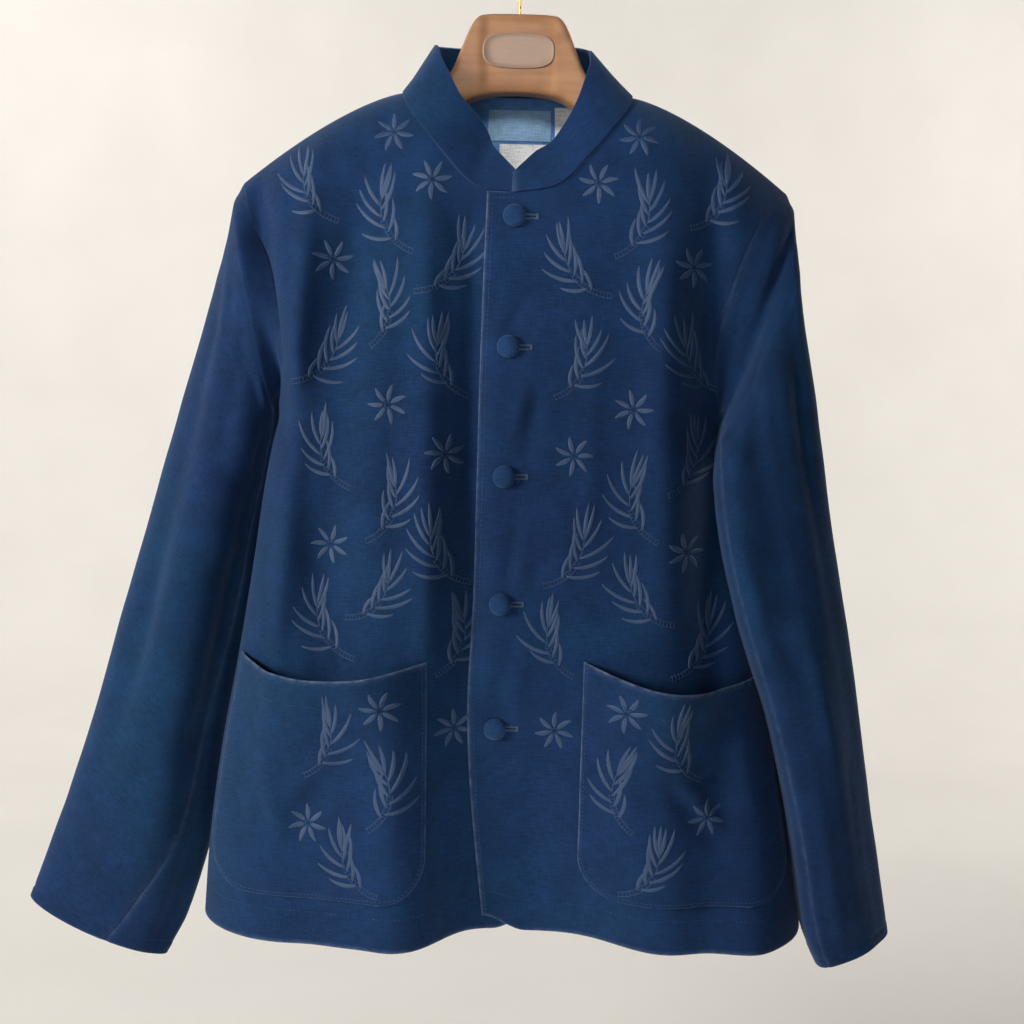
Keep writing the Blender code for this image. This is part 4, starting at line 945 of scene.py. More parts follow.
def along_path(path, at):
    """Places at given distances along a flat path."""
    run = distances(path)
    return points(*(np.interp(at, run, path[:, k]) for k in (0, 1)))


def stitches(path):
    """A row of stitches along a flat path."""
    starts = np.arange(0, distances(path)[-1] - STITCH_LENGTH, STITCH_PITCH)
    steps = np.linspace(0, STITCH_LENGTH, len(STITCH_SWELL))
    swell = np.array(STITCH_SWELL)
    return [ribbon(along_path(path, s + steps), STITCH_HALF * swell, STITCH_HEIGHT * swell, THREAD)
            for s in starts]


def level_path(x_from, x_to, z):
    return np.array([[x_from, z], [x_to, z]])


def grid_surface(grid, turn):
    """A grid as a surface by place along its columns and its rows in mean metres, with its size."""
    normals = grid_normals(grid, turn)
    rows, columns = grid.shape[:2]
    column_step, row_step = lengths(grid, 1).mean(), lengths(grid, 0).mean()

    def surface(p, q):
        j = np.clip(p / column_step, 0, columns - GRID_END)
        i = np.clip(q / row_step, 0, rows - GRID_END)
        i0, j0 = i.astype(int), j.astype(int)
        s, t = (i - i0)[:, None], (j - j0)[:, None]
        spots, turned = (between(between(field[i0, j0], field[i0, j0 + 1], t),
                                 between(field[i0 + 1, j0], field[i0 + 1, j0 + 1], t), s)
                         for field in (grid, normals))
        return spots, unit(turned)
    return surface, column_step * (columns - 1), row_step * (rows - 1)


# Materials

def feed(tree, node, inputs):
    """Join sockets to a node's inputs, or set them."""
    for key, value in inputs.items():
        if isinstance(value, bpy.types.NodeSocket):
            tree.links.new(value, node.inputs[key])
        else:
            node.inputs[key].default_value = value


def add_node(tree, kind, inputs, **settings):
    made = tree.nodes.new(kind)
    for key, value in settings.items():
        setattr(made, key, value)
    feed(tree, made, inputs)
    return made


def new_material(name):
    """A material with its node tree, its shader, and its places on the object and on the UV."""
    finish = bpy.data.materials.new(name)
    finish.use_nodes = True
    tree = finish.node_tree
    coords = add_node(tree, "ShaderNodeTexCoord", {})
    return finish, tree, tree.nodes["Principled BSDF"], coords.outputs["Object"], coords.outputs["UV"]


def noise(tree, vector, scale, detail=2.0, rough=0.5):
    inputs = {"Vector": vector, "Scale": scale, "Detail": detail, "Roughness": rough}
    return add_node(tree, "ShaderNodeTexNoise", inputs).outputs["Fac"]


def stretched(tree, vector, scale):
    return add_node(tree, "ShaderNodeMapping", {"Vector": vector, "Scale": scale}).outputs["Vector"]


def ramp(tree, factor, places, colours):
    made = add_node(tree, "ShaderNodeValToRGB", {"Fac": factor})
    band = made.color_ramp
    while len(band.elements) < len(colours):
        band.elements.new(0.5)
    for element, place, colour in zip(band.elements, places, colours):
        element.position = place
        element.color = (*colour, 1.0)
    return made.outputs["Color"]


def spread_to(tree, value, low, high):
    """A noise value spread to a range."""
    inputs = {"Value": value, "From Min": NOISE_LOW, "From Max": NOISE_HIGH, "To Min": low, "To Max": high}
    return add_node(tree, "ShaderNodeMapRange", inputs).outputs["Result"]


def maths(tree, operation, a, b=0.0):
    return add_node(tree, "ShaderNodeMath", {0: a, 1: b}, operation=operation).outputs["Value"]


def mixed(tree, factor, a, b, blend="MIX"):
    inputs = {0: factor, 6: a, 7: b}
    return add_node(tree, "ShaderNodeMix", inputs, data_type="RGBA", blend_type=blend).outputs[2]


def bump(tree, height, strength, distance):
    inputs = {"Height": height, "Strength": strength, "Distance": distance}
    return add_node(tree, "ShaderNodeBump", inputs).outputs["Normal"]


def weave(tree, uv):
    """Height of a plain weave: threads over and under each other, with slubs along them."""
    inputs = {"Vector": uv, "Scale": 1 / (2 * WEAVE_PITCH), "Distortion": 0.6, "Detail": 1.0,
              "Detail Scale": 2.0}
    waves = [add_node(tree, "ShaderNodeTexWave", inputs, bands_direction=direction).outputs["Fac"]
             for direction in ("X", "Y")]
    return maths(tree, "MULTIPLY", *waves)


def cloth_material(name, patches, worn_colour, sheen, nap_colour):
    """Dyed cloth: large patches, mottling, slubbed weave, paler worn edges and a soft nap."""
    finish, tree, shader, place, uv = new_material(name)
    colour = ramp(tree, noise(tree, place, scale=5.5, rough=0.55), PATCH_PLACES, patches)
    cross = noise(tree, stretched(tree, uv, CROSS_SLUBS), scale=1.0, rough=0.6)
    down = noise(tree, stretched(tree, uv, DOWN_SLUBS), scale=1.0, rough=0.6)
    slubs = maths(tree, "ADD", spread_to(tree, cross, 0.0, 0.6), spread_to(tree, down, 0.0, 0.4))
    mottle = spread_to(tree, noise(tree, place, scale=34.0, detail=4.0, rough=0.62), 0.78, 1.22)
    shade = maths(tree, "MULTIPLY", mottle, spread_to(tree, slubs, 0.80, 1.20))
    grey = add_node(tree, "ShaderNodeCombineColor", {"Red": shade, "Green": shade, "Blue": shade})
    colour = mixed(tree, 1.0, colour, grey.outputs["Color"], "MULTIPLY")
    edge = add_node(tree, "ShaderNodeAttribute", {}, attribute_name="wear").outputs["Fac"]
    rubbing = spread_to(tree, noise(tree, place, scale=160.0, detail=3.0), 0.05, 0.75)
    rubbed = maths(tree, "MULTIPLY", edge, rubbing)
    height = maths(tree, "ADD", slubs, maths(tree, "MULTIPLY", weave(tree, uv), 0.6))
    feed(tree, shader, {
        "Base Color": mixed(tree, rubbed, colour, (*worn_colour, 1.0)),
        "Roughness": spread_to(tree, slubs, 0.92, 0.74),
        "Normal": bump(tree, height, 0.35, 0.0004),
        "Specular IOR Level": 0.12,
        "Sheen Weight": sheen,
        "Sheen Roughness": 0.45,
        "Sheen Tint": (*nap_colour, 1.0),
    })
    return finish


def thread_material(name, dark, light):
    """Thread with painted sheen: its colour runs lighter along noisy strands lying across each satin leaf,
    and lighter again on the strip's two raised ridges as a painted highlight.
    """
    finish, tree, shader, place, uv = new_material(name)
    strands = noise(tree, stretched(tree, uv, SATIN_STRANDS), scale=1.0, detail=1.0)
    tone = noise(tree, place, scale=60.0, detail=3.0)
    across = add_node(tree, "ShaderNodeSeparateXYZ", {"Vector": uv}).outputs["X"]
    # Painted highlight: lighter colour on the two raised ridges of each satin strip
    painted_ridge_highlight = maths(tree, "ABSOLUTE", maths(tree, "SINE", maths(tree, "MULTIPLY", across, 2 * math.pi)))
    # Painted sheen along the strands, times the thread's random tone
    painted_sheen_and_tone = maths(tree, "MULTIPLY", spread_to(tree, strands, 0.4, 1.0), spread_to(tree, tone, 0.35, 1.15))
    blend = maths(tree, "MULTIPLY", painted_sheen_and_tone, spread_to(tree, painted_ridge_highlight, 0.3, 1.1))
    feed(tree, shader, {
        "Base Color": mixed(tree, blend, (*dark, 1.0), (*light, 1.0)),
        "Roughness": spread_to(tree, strands, 0.7, 0.5),
        "Normal": bump(tree, strands, 0.5, 0.0003),
        "Specular IOR Level": 0.35,
    })
    return finish


def wood_material():
    """Stained and lacquered wood with its grain along the hanger."""
    finish, tree, shader, place, _ = new_material("hanger_wood")
    grain = noise(tree, stretched(tree, place, WOOD_GRAIN), scale=1.0, detail=5.0, rough=0.6)
    cloud = noise(tree, place, scale=22.0, detail=3.0)
    blend = maths(tree, "ADD", maths(tree, "MULTIPLY", grain, 0.65), maths(tree, "MULTIPLY", cloud, 0.35))
    feed(tree, shader, {
        "Base Color": ramp(tree, blend, GRAIN_PLACES, WOOD_BROWNS),
        "Roughness": spread_to(tree, grain, 0.40, 0.54),
        "Normal": bump(tree, grain, 0.12, 0.0004),
        "Specular IOR Level": 0.14,
        "Coat Weight": 0.03,
        "Coat Roughness": 0.3,
    })
    return finish


def plate_material():
    finish, tree, shader, place, _ = new_material("plate_satin")
    brushed = noise(tree, stretched(tree, place, BRUSHING), scale=1.0, detail=3.0, rough=0.6)
    feed(tree, shader, {
        "Base Color": ramp(tree, brushed, TONE_PLACES, PLATE_BROWNS),
        "Roughness": spread_to(tree, brushed, 0.34, 0.5),
        "Normal": bump(tree, brushed, 0.1, 0.0002),
        "Specular IOR Level": 0.16,
    })
    return finish


def brass_material():
    finish, tree, shader, place, _ = new_material("hook_brass")
    tarnish = noise(tree, place, scale=180.0, detail=4.0, rough=0.6)
    feed(tree, shader, {
        "Base Color": ramp(tree, tarnish, TONE_PLACES, BRASS_YELLOWS),
        "Roughness": spread_to(tree, tarnish, 0.22, 0.4),
        "Metallic": 1.0,
    })
    return finish


def floor_material():
    finish, tree, shader, place, _ = new_material("floor_pale")
    tone = noise(tree, place, scale=3.0, detail=4.0)
    feed(tree, shader, {
        "Base Color": ramp(tree, tone, TONE_PLACES, FLOOR_TONES),
        "Roughness": 0.9,
        "Specular IOR Level": 0.1,
    })
    return finish


# Frame and finishes

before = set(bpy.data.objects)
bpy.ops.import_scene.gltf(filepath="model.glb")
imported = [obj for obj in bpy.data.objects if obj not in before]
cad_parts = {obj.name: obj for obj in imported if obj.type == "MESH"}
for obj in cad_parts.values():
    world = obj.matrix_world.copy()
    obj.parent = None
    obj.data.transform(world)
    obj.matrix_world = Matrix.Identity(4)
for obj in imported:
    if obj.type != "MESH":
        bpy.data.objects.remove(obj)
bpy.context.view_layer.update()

cloth_finishes = {
    "indigo_cloth": cloth_material("indigo_cloth_nap", INDIGO_PATCHES, INDIGO_WORN, INDIGO_SHEEN, INDIGO_NAP),
    "facing_cloth": cloth_material("facing_cloth_nap", FACING_DYE_AND_PAINTED_LIGHT, FACING_WORN, FACING_SHEEN,
                                   FACING_WORN),
    "label_blue": cloth_material("label_blue_weave", LABEL_DYE_AND_PAINTED_LIGHT, LABEL_BLUE_EDGE, LABEL_SHEEN,
                                 LABEL_BLUE_EDGE),
    "label_white": cloth_material("label_white_weave", LABEL_WHITES, LABEL_WHITE_EDGE, LABEL_SHEEN,
                                  LABEL_WHITE_EDGE),
}
button_blue = cloth_material("button_cloth_nap", BUTTON_PATCHES, INDIGO_WORN, BUTTON_SHEEN, INDIGO_NAP)
thread_blue = thread_material("embroidery_thread", *EMBROIDERY_BLUES)
thread_plain = thread_material("sewing_thread", *SEWING_BLUES)
thread_pale = thread_material("buttonhole_thread", *BUTTONHOLE_BLUES)


# Fronts and back

def panel_rows():
    lower = np.concatenate([HEM_ROWS, np.linspace(0, 1, LOWER_ROWS + 1)[2:]])
    return np.concatenate([lower, np.linspace(1, 2, UPPER_ROWS + 1)[1:]])


def seam_edge(edge, beside):
    """An edge moved by half its seam's gap, which is negative where cloths lap."""
    return edge + unit(beside - edge) * SEAM / 2


def front_grid(side):
    grid = front_point(side, *np.meshgrid(edged(FRONT_COLUMNS), panel_rows()))
    below_armhole = np.s_[:LOWER_ROWS + 2]
    grid[-1] = seam_edge(grid[-1], grid[-2])
    grid[below_armhole, -1] = seam_edge(grid[below_armhole, -1], grid[below_armhole, -2])
    return grid


def back_columns():
    shoulder = between(BACK_NECK_SHARE, 1, edged(BACK_SHOULDER_COLUMNS)[1:])
    return np.concatenate([-shoulder[::-1], NAPE_SHARES, shoulder])


# Hem and front edge stitching

def hem_path(side):
    edge = centre_front(HEM_Z) - side * EXTENSION
    x = np.linspace(edge + side * EDGE_STITCH, side * half_width(side, HEM_Z) * SIDE_CLEAR, HEM_PATH_POINTS)
    return points(x, HEM_Z + HEM_DEPTH + hem_corner(x - edge) * HEM_CORNER_STITCH)


def front_edge_path(side):
    z = np.linspace(HEM_Z + HEM_CORNER_RISE + EDGE_STITCH, FRONT_NECK_Z - EDGE_STITCH, EDGE_PATH_POINTS)
    down = points(centre_front(z) - side * (EXTENSION - EDGE_STITCH), z)
    return np.append(down, [[centre_front(FRONT_NECK_Z), z[-1]]], axis=0)


for name, side in SIDES.items():
    rows = stitches(hem_path(side)) + stitches(front_edge_path(side))
    sew(f"front_{name}_stitching", front_surfaces[side], rows, thread_plain)
back_reach = SIDE_CLEAR * half_width(RIGHT, HEM_Z)
back_rows = stitches(level_path(-back_reach, back_reach, HEM_Z + HEM_DEPTH))
back_sewing = sew("back_stitching", back_surface, back_rows, thread_plain)


# Pockets

def pocket_outer(side, z):
    return half_width(side, z) * POCKET_SIDE_SHARE[side]


def pocket_span(side, z):
    """Inner end and width of a pocket at a height, less at its round lower corners."""
    above = np.clip(z - POCKET_BOTTOM_Z, 0.0, POCKET_CORNER)
    inset = POCKET_CORNER - np.sqrt(POCKET_CORNER ** 2 - (POCKET_CORNER - above) ** 2)
    return POCKET_INNER_X + inset, pocket_outer(side, z) - POCKET_INNER_X - 2 * inset


def pocket_top(side, a):
    return between(*POCKET_TOP_Z[side], a) - POCKET_SAG * np.sin(math.pi * a)


def pocket_shares(side, x, z):
    """A place on a pocket as shares across it from its inner edge, and up it from its bottom."""
    inner_x, width = pocket_span(side, z)
    a = np.clip((side * x - inner_x) / width, 0.0, 1.0)
    return a, np.clip((z - POCKET_BOTTOM_Z) / (pocket_top(side, a) - POCKET_BOTTOM_Z), 0.0, 1.0)


def pocket_place(side, a, b):
    z = between(POCKET_BOTTOM_Z, pocket_top(side, a), b)
    inner_x, width = pocket_span(side, z)
    return side * (inner_x + width * a), z


def pocket_surface(side):
    """The pocket's outer face: it lies on the front at its edges and gapes towards its mouth."""
    def surface(x, z):
        a, b = pocket_shares(side, x, z)
        from_side = np.minimum(a, 1 - a)
        opening = np.clip((b - POCKET_GAPE_FROM) / (1 - POCKET_GAPE_FROM), 0.0, 1.0) ** 2
        out = POCKET_GAPE * opening * np.sin(math.pi * a)
        out = out + POCKET_FULLNESS * np.sin(math.pi * a) * np.sin(math.pi * b)
        inside = ease(from_side / POCKET_FLAT_EDGE) * ease(b / POCKET_FLAT_EDGE)
        below_mouth = pocket_top(side, a) - z
        out = out + inside * creases(POCKET_CREASES, x, z) * ease(below_mouth / MOUTH_DEPTH)
        out = out + turned_hem(x, below_mouth, MOUTH_DEPTH) * ease(from_side / MOUTH_FLAT_END)
        spots, normals = front_surfaces[side](x, z)
        spots[..., 1] -= out
        return spots + (POCKET_GAP + CLOTH) * normals, normals
    return surface


def pocket_grid(side):
    rows = np.linspace(0, 1, POCKET_ROWS + 1) ** POCKET_ROW_CLOSING
    a, b = np.meshgrid(edged(POCKET_COLUMNS), np.append(rows[:-1], MOUTH_ROWS))
    return pocket_surface(side)(*pocket_place(side, a, b))[0]


def pocket_outline(side):
    """The sewn edge from one corner of the mouth round the bottom to the other, drawn in a little."""
    fall = np.linspace(1, 0, POCKET_SIDE_POINTS) ** POCKET_ROW_CLOSING
    inner, outer = (points(*pocket_place(side, np.full_like(fall, a), fall)) for a in (0.0, 1.0))
    path = np.concatenate([inner, outer[::-1]])
    path = along_path(path, np.linspace(0, distances(path)[-1], POCKET_PATH_POINTS))
    return path + side * POCKET_STITCH * aside_of(path)


def pocket_mouth(side):
    a = np.linspace(MOUTH_STITCH_FROM, 1 - MOUTH_STITCH_FROM, MOUTH_POINTS)
    x, _ = pocket_place(side, a, np.full_like(a, MOUTH_STITCH_UP))
    return points(x, pocket_top(side, a) - MOUTH_DEPTH)


# Embroidery

def toward(degrees):
    turn = np.radians(degrees)
    return points(np.cos(turn), np.sin(turn))


def curve(start, heading, bend, length, count):
    """A flat arc that leaves a place at a heading and bends evenly, with its headings."""
    headings = heading + bend * np.linspace(0, 1, count)
    steps = toward(headings) * length / (count - 1)
    run = np.concatenate([[[0.0, 0.0]], np.cumsum((steps[:-1] + steps[1:]) / 2, axis=0)])
    return start + run, headings


def satin_leaf(root, heading, bend, length, half):
    """One slender leaf or petal, as a raised satin strip."""
    along = np.linspace(LEAF_TIP, 1 - LEAF_TIP, LEAF_POINTS)
    swell = np.sin(math.pi * along ** LEAF_LEAN) ** LEAF_FULLNESS
    leaf, _ = curve(root, heading, bend, length, LEAF_POINTS)
    return ribbon(leaf, half * swell, LEAF_HEIGHT * swell ** 0.5, SATIN)


def bough(place, heading, mirror, size):
    """One bough: a bending stem, laddered at its foot, with slender satin leaves in pairs."""
    bend, length = mirror * SPRIG_BEND, SPRIG_LENGTH * size
    stem, headings = curve(np.array(place), heading - bend / 2, bend, length, STEM_POINTS)
    stem = stem - (stem[-1] - stem[0]) * STEM_BACK
    run = np.linspace(0, 1, len(stem))
    aside = aside_of(stem)
    ladder = run <= LADDER_SHARE
    strips = [ribbon((stem + hand * LADDER_HALF * aside)[ladder], RAIL_HALF, RAIL_HEIGHT, THREAD)
              for hand in (-1, 1)]
    strips.append(ribbon(stem[run >= LADDER_SHARE], STEM_HALF, RAIL_HEIGHT, THREAD))
    for share in np.arange(LADDER_FROM, LADDER_SHARE, RUNG_PITCH / length):
        across = np.array([np.interp(share, run, aside[:, k]) for k in (0, 1)])
        rung = along_path(stem, share * length) + np.linspace(-1, 1, 3)[:, None] * LADDER_HALF * across
        strips.append(ribbon(rung, RUNG_HALF, RAIL_HEIGHT, THREAD))
    for share, turn, leaf_bend, leaf_length in zip(*LEAVES.values()):
        start = np.interp(share, run, headings) + mirror * turn
        start += RANDOM.uniform(-LEAF_TURN_SPREAD, LEAF_TURN_SPREAD)
        leaf_length *= size * RANDOM.uniform(1 - LEAF_LENGTH_SPREAD, 1 + LEAF_LENGTH_SPREAD)
        root = along_path(stem, share * length)
        strips.append(satin_leaf(root, start, mirror * leaf_bend, leaf_length, LEAF_HALF))
    return strips


def blossom(place, heading, mirror, size):
    """A small open flower of rounded petals round a ring of thread."""
    middle, bend = np.array(place), mirror * PETAL_BEND
    strips = [satin_leaf(middle + PETAL_FROM * toward(turn), turn - bend / 2, bend, PETAL_LENGTH * size,
                         PETAL_HALF)
              for turn in np.arange(PETALS) * 360 / PETALS + heading]
    ring = middle + BLOSSOM_RING * toward(np.linspace(0, BLOSSOM_RING_DEG, BLOSSOM_RING_POINTS))
    return strips + [ribbon(ring, RAIL_HALF, RAIL_HEIGHT, THREAD)]


def sprigs(side):
    """Each motif on one front, with its place, heading, hand and size."""
    for column, reach in enumerate(SPRIG_COLUMNS):
        drop = SPRIG_PITCH / 2 * (column % 2)
        for row in range(SPRIG_ROWS):
            tilt = SPRIG_TILTS[(row + 2 * column) % len(SPRIG_TILTS)]
            motif = blossom if (row + column) % BLOSSOM_EVERY == 1 else bough
            place = (side * reach, SPRIG_TOP_Z - drop - row * SPRIG_PITCH)
            size = SPRIG_SIZES[(row + column) % len(SPRIG_SIZES)]
            yield motif, place, 90.0 - side * tilt, side * np.sign(tilt), size


def over_pocket(side, flat, margin):
    """Which of a motif's points lie on the pocket."""
    x, z = side * flat[:, 0], flat[:, 1]
    outer_x = pocket_outer(side, z)
    a = np.clip((x - POCKET_INNER_X) / (outer_x - POCKET_INNER_X), 0.0, 1.0)
    inside = (x > POCKET_INNER_X - margin) & (x < outer_x + margin)
    return inside & (z > POCKET_BOTTOM_Z - margin) & (z < pocket_top(side, a) + margin)


def on_panel(side, flat):
    """True where a motif is clear of the neckline, the shoulder and the hem."""
    x, z = side * flat[:, 0], flat[:, 1]
    neck_x = np.interp(z, NECKLINE["z"], NECKLINE["x"], left=0.0)
    clear = (z < ridge_z(x) - SHOULDER_MARGIN) & (x > neck_x + EDGE_MARGIN) & (z > HEM_Z + EDGE_MARGIN)
    return bool(clear.all())


def clear_of(flat, placed):
    """True where a motif keeps off all those placed before it."""
    return all(np.linalg.norm(flat[:, None] - other, axis=-1).min() > SPRIG_CLEAR for other in placed)


def embroider(side):
    """The motifs of one side that find room, as strips on its front and on its pocket."""
    on_front, on_pocket, placed = [], [], []
    for motif, (x, z), heading, hand, size in sprigs(side):
        for inward, up in SPRIG_NUDGES:
            strips = motif((x + side * inward, z + up), heading, hand, size)
            flat = np.concatenate([strip.reshape(-1, 3)[:, :2] for strip in strips])
            few = flat[::SPRIG_THINNED]
            within = over_pocket(side, flat, -POCKET_MARGIN).all()
            outside = not over_pocket(side, flat, POCKET_MARGIN).any()
            if on_panel(side, flat) and clear_of(few, placed) and (within or outside):
                placed.append(few)
                chosen = on_pocket if within else on_front
                chosen += strips
                break
    return on_front, on_pocket


for name, side in SIDES.items():
    on_front, on_pocket = embroider(side)
    rows = stitches(pocket_outline(side)) + stitches(pocket_mouth(side))
    surface = pocket_surface(side)
    pocket_sewing = [sew(f"pocket_{name}_stitching", surface, rows, thread_plain)]
    if on_pocket:
        pocket_sewing.append(sew(f"pocket_{name}_embroidery", surface, on_pocket, thread_blue))
    embroidery = sew(f"front_{name}_embroidery", front_surfaces[side], on_front, thread_blue)
    place_cloth(f"front_{name}", front_grid(side), side, FRONT_PIECE)
    place_cloth(f"pocket_{name}", pocket_grid(side), side, POCKET_PIECE)

back_grid = back_point(*np.meshgrid(back_columns(), panel_rows()))
place_cloth("back", back_grid, -1, BACK_PIECE)


# Sleeves

def armhole_ring(side):
    """Armhole edge as a ring from the tip down the front and up the back."""
    half = SLEEVE_COLUMNS // 2
    down = 1 + np.linspace(1, 0, half + 1)
    up = 1 + np.linspace(0, 1, half + 1)[1:-1]
    front = front_point(side, np.ones_like(down), down)
    return np.concatenate([front, back_point(side * np.ones_like(up), up)])


def sleeve_folds(side, turn_deg, at):
    total = 0.0
    for angle, width, start, end, height in zip(*SLEEVE_FOLDS[side].values()):
        total = total + height * fade(at, start, end, SLEEVE_FOLD_FADE) * bell((turn_deg - angle) / width)
    return total


def sleeve_rings(side, at):
    """Sleeve sections below the armhole, each a flattened ring from outer edge to inner edge."""
    rows = SLEEVE[side]
    knots = np.arange(len(rows["outer_x"]), dtype=float)
    row = {name: smooth(knots, values, at)[:, None] for name, values in rows.items()}
    turn_deg = np.arange(SLEEVE_COLUMNS) * 360 / SLEEVE_COLUMNS + row["twist_deg"]
    turn = np.radians(turn_deg)
    reach = np.where(np.sin(turn) > 0, row["to_front"], row["to_back"])
    swell = 1 + sleeve_folds(side, turn_deg, at[:, None]) / reach
    toward_outer = 0.5 + swell * np.cos(turn) / 2
    x = side * between(row["inner_x"], row["outer_x"], toward_outer)
    z = between(row["inner_z"], row["outer_z"], toward_outer)
    bulge = np.sign(np.sin(turn)) * np.abs(np.sin(turn)) ** SLEEVE_ROUNDNESS[side]
    y = row["edge_y"] - swell * reach * bulge + SLEEVE_TILT[side] * (toward_outer - 0.5)
    return points(x, y, z), turn_deg


def wrapped_normals(grid, turn):
    across = np.roll(grid, -1, axis=1) - np.roll(grid, 1, axis=1)
    return unit(turn * np.cross(across, np.gradient(grid, axis=0)))


def sleeve_grid(side):
    """The whole sleeve: the head eased in from the armhole, then the sections down to the cuff."""
    last = len(SLEEVE[side]["outer_x"]) - 1
    at = np.concatenate([np.linspace(0, last, SLEEVE_ROWS + 1)[:-1], last - np.array(CUFF_ROWS)])
    rings, turn_deg = sleeve_rings(side, at)
    edge = armhole_ring(side)
    gap = np.linalg.norm(rings[0] - edge, axis=-1, keepdims=True)
    edge = edge + ARMHOLE_TUCK * (rings[0] - edge) / gap
    t = (np.arange(1, SLEEVE_HEAD_ROWS + 1) / (SLEEVE_HEAD_ROWS + 1))[:, None, None]
    head = hermite(t, edge, rings[0], rings[0] - edge, unit(rings[2] - rings[0]) * gap)
    grid = np.concatenate([edge[None], head, rings])
    head_at = np.linspace(-1, 0, SLEEVE_HEAD_ROWS + 2)[:-1]
    at = np.concatenate([head_at, at])[:, None]
    turn_deg = np.concatenate([np.repeat(turn_deg[:1], len(head_at), axis=0), turn_deg])
    p, q = np.broadcast_arrays(turn_deg * SLEEVE_DEGREE, at * SLEEVE_ROW)
    scales = {"degrees_from": SLEEVE_DEGREE, "degrees_to": SLEEVE_DEGREE, "row_from": SLEEVE_ROW,
              "row_to": SLEEVE_ROW}
    rows = {name: values * scales.get(name, 1.0) for name, values in SLEEVE_CREASES[side].items()}
    relief = (creases(rows, p, q) + unevenness(p, q)) * ease((at + 1) / SLEEVE_SEAM_EASE)
    relief = relief + turned_hem(p, (last - at) * SLEEVE_ROW, CUFF_DEPTH)
    return grid + relief[..., None] * wrapped_normals(grid, side)


def edge_sewing(name, grid, turn, inset, depth):
    """Stitching along the last edge of a grid."""
    surface, width, length = grid_surface(grid, turn)
    rows = stitches(level_path(inset, width - inset, length - depth))
    return sew(f"{name}_stitching", surface, rows, thread_plain)


columns = np.arange(SLEEVE_COLUMNS)
front_seam = SLEEVE_FRONT_SEAM_DEG * SLEEVE_COLUMNS // 360
back_seam = SLEEVE_BACK_SEAM_DEG * SLEEVE_COLUMNS // 360
sleeve_parts = {
    "under": columns[front_seam:back_seam + 1],
    "top": np.concatenate([columns[back_seam:], columns[:front_seam + 1]]),
}
for side_name, side in SIDES.items():
    whole = sleeve_grid(side)
    for part, chosen in sleeve_parts.items():
        name = f"sleeve_{side_name}_{part}"
        grid = whole[:, chosen].copy()
        grid[:, 0] = seam_edge(grid[:, 0], grid[:, 1])
        grid[:, -1] = seam_edge(grid[:, -1], grid[:, -2])
        sewing = edge_sewing(name, grid, side, CUFF_STITCH_END, CUFF_DEPTH)
        also = [f"sleeve_{side_name}_forearm"] if part == "top" else []
        place_cloth(name, grid, side, SLEEVE_PIECES[part], also)


# Collar

def neckline_ring():
    """Neckline from the right centre front round the back to the left centre front."""
    shares = 1 + between(NECK_START, 1, np.linspace(0, 1, COLLAR_FRONT_COLUMNS + 1))
    right, left = (front_point(side, np.zeros_like(shares), shares) for side in (RIGHT, LEFT))
    nape = back_point(NAPE_SHARES, np.full_like(NAPE_SHARES, 2.0))
    return np.concatenate([right, nape[1:-1], left[::-1]])


def collar_grid():
    base = neckline_ring()
    run = distances(base)
    share = 1 - np.abs(2 * run / run[-1] - 1)
    from_nape = run - run[-1] / 2
    height = sided(COLLAR, "height", from_nape, share, "share")[:, None]
    lean = np.radians(sided(COLLAR, "lean", from_nape, share, "share"))[:, None]
    inward = unit(np.array([0.0, COLLAR_AXIS_Y, 0.0]) - base * [1, 1, 0])
    rising = np.cos(lean) * [0, 0, 1] + np.sin(lean) * inward
    up = edged(COLLAR_ROWS)[:, None, None]
    outer = base + rising * between(SEAM, height, up)
    p, q = np.broadcast_arrays(run[None], up[..., 0] * height.T)
    relief = unevenness(p, q) * ease(up[..., 0] / COLLAR_FLAT_FOOT) * COLLAR_UNEVEN
    return outer + relief[..., None] * grid_normals(outer, 1)


collar = collar_grid()
collar_sewing = edge_sewing("collar", collar, 1, COLLAR_STITCH_END, COLLAR_STITCH)
place_cloth("collar", collar, 1, COLLAR_PIECE)


# Facing and labels

def back_inside(x, z, offset):
    """A place in front of the back's inside face."""
    spots, normals = back_surface(x, z)
    return spots - (CLOTH + offset) * normals


a, b = np.meshgrid(edged(FACING_COLUMNS), edged(FACING_ROWS))
facing_x = (2 * a - 1) * between(FACING_HALF_LOW, FACING_HALF_TOP, b)
facing_z = between(FACING_BOTTOM_Z, NECK_POINT_Z + BACK_NECK_RISE - FACING_BELOW_EDGE, b)
facing = back_inside(facing_x, facing_z, FACING_GAP + FACING_CLOTH)
place_cloth("back_facing", facing, 1, FACING_PIECE)

for name, slot, x_middle, z_middle, width, height in LABELS:
    a, b = np.meshgrid(edged(LABEL_COLUMNS), edged(LABEL_ROWS))
    x, z = x_middle + width * (a - 0.5), z_middle + height * (b - 0.5)
    label = back_inside(x, z, FACING_GAP + FACING_CLOTH + LAID_ON + LABEL_CLOTH)
    label[..., 1] -= np.abs(LABEL_CURL * np.sin(2 * math.pi * a + z_middle / height) * np.sin(math.pi * b))
    label_piece = (LABEL_CLOTH, (width, height, width * height), ALL_OPEN, slot, "laid")
    place_cloth(name, label, 1, label_piece)


# Buttons and buttonholes

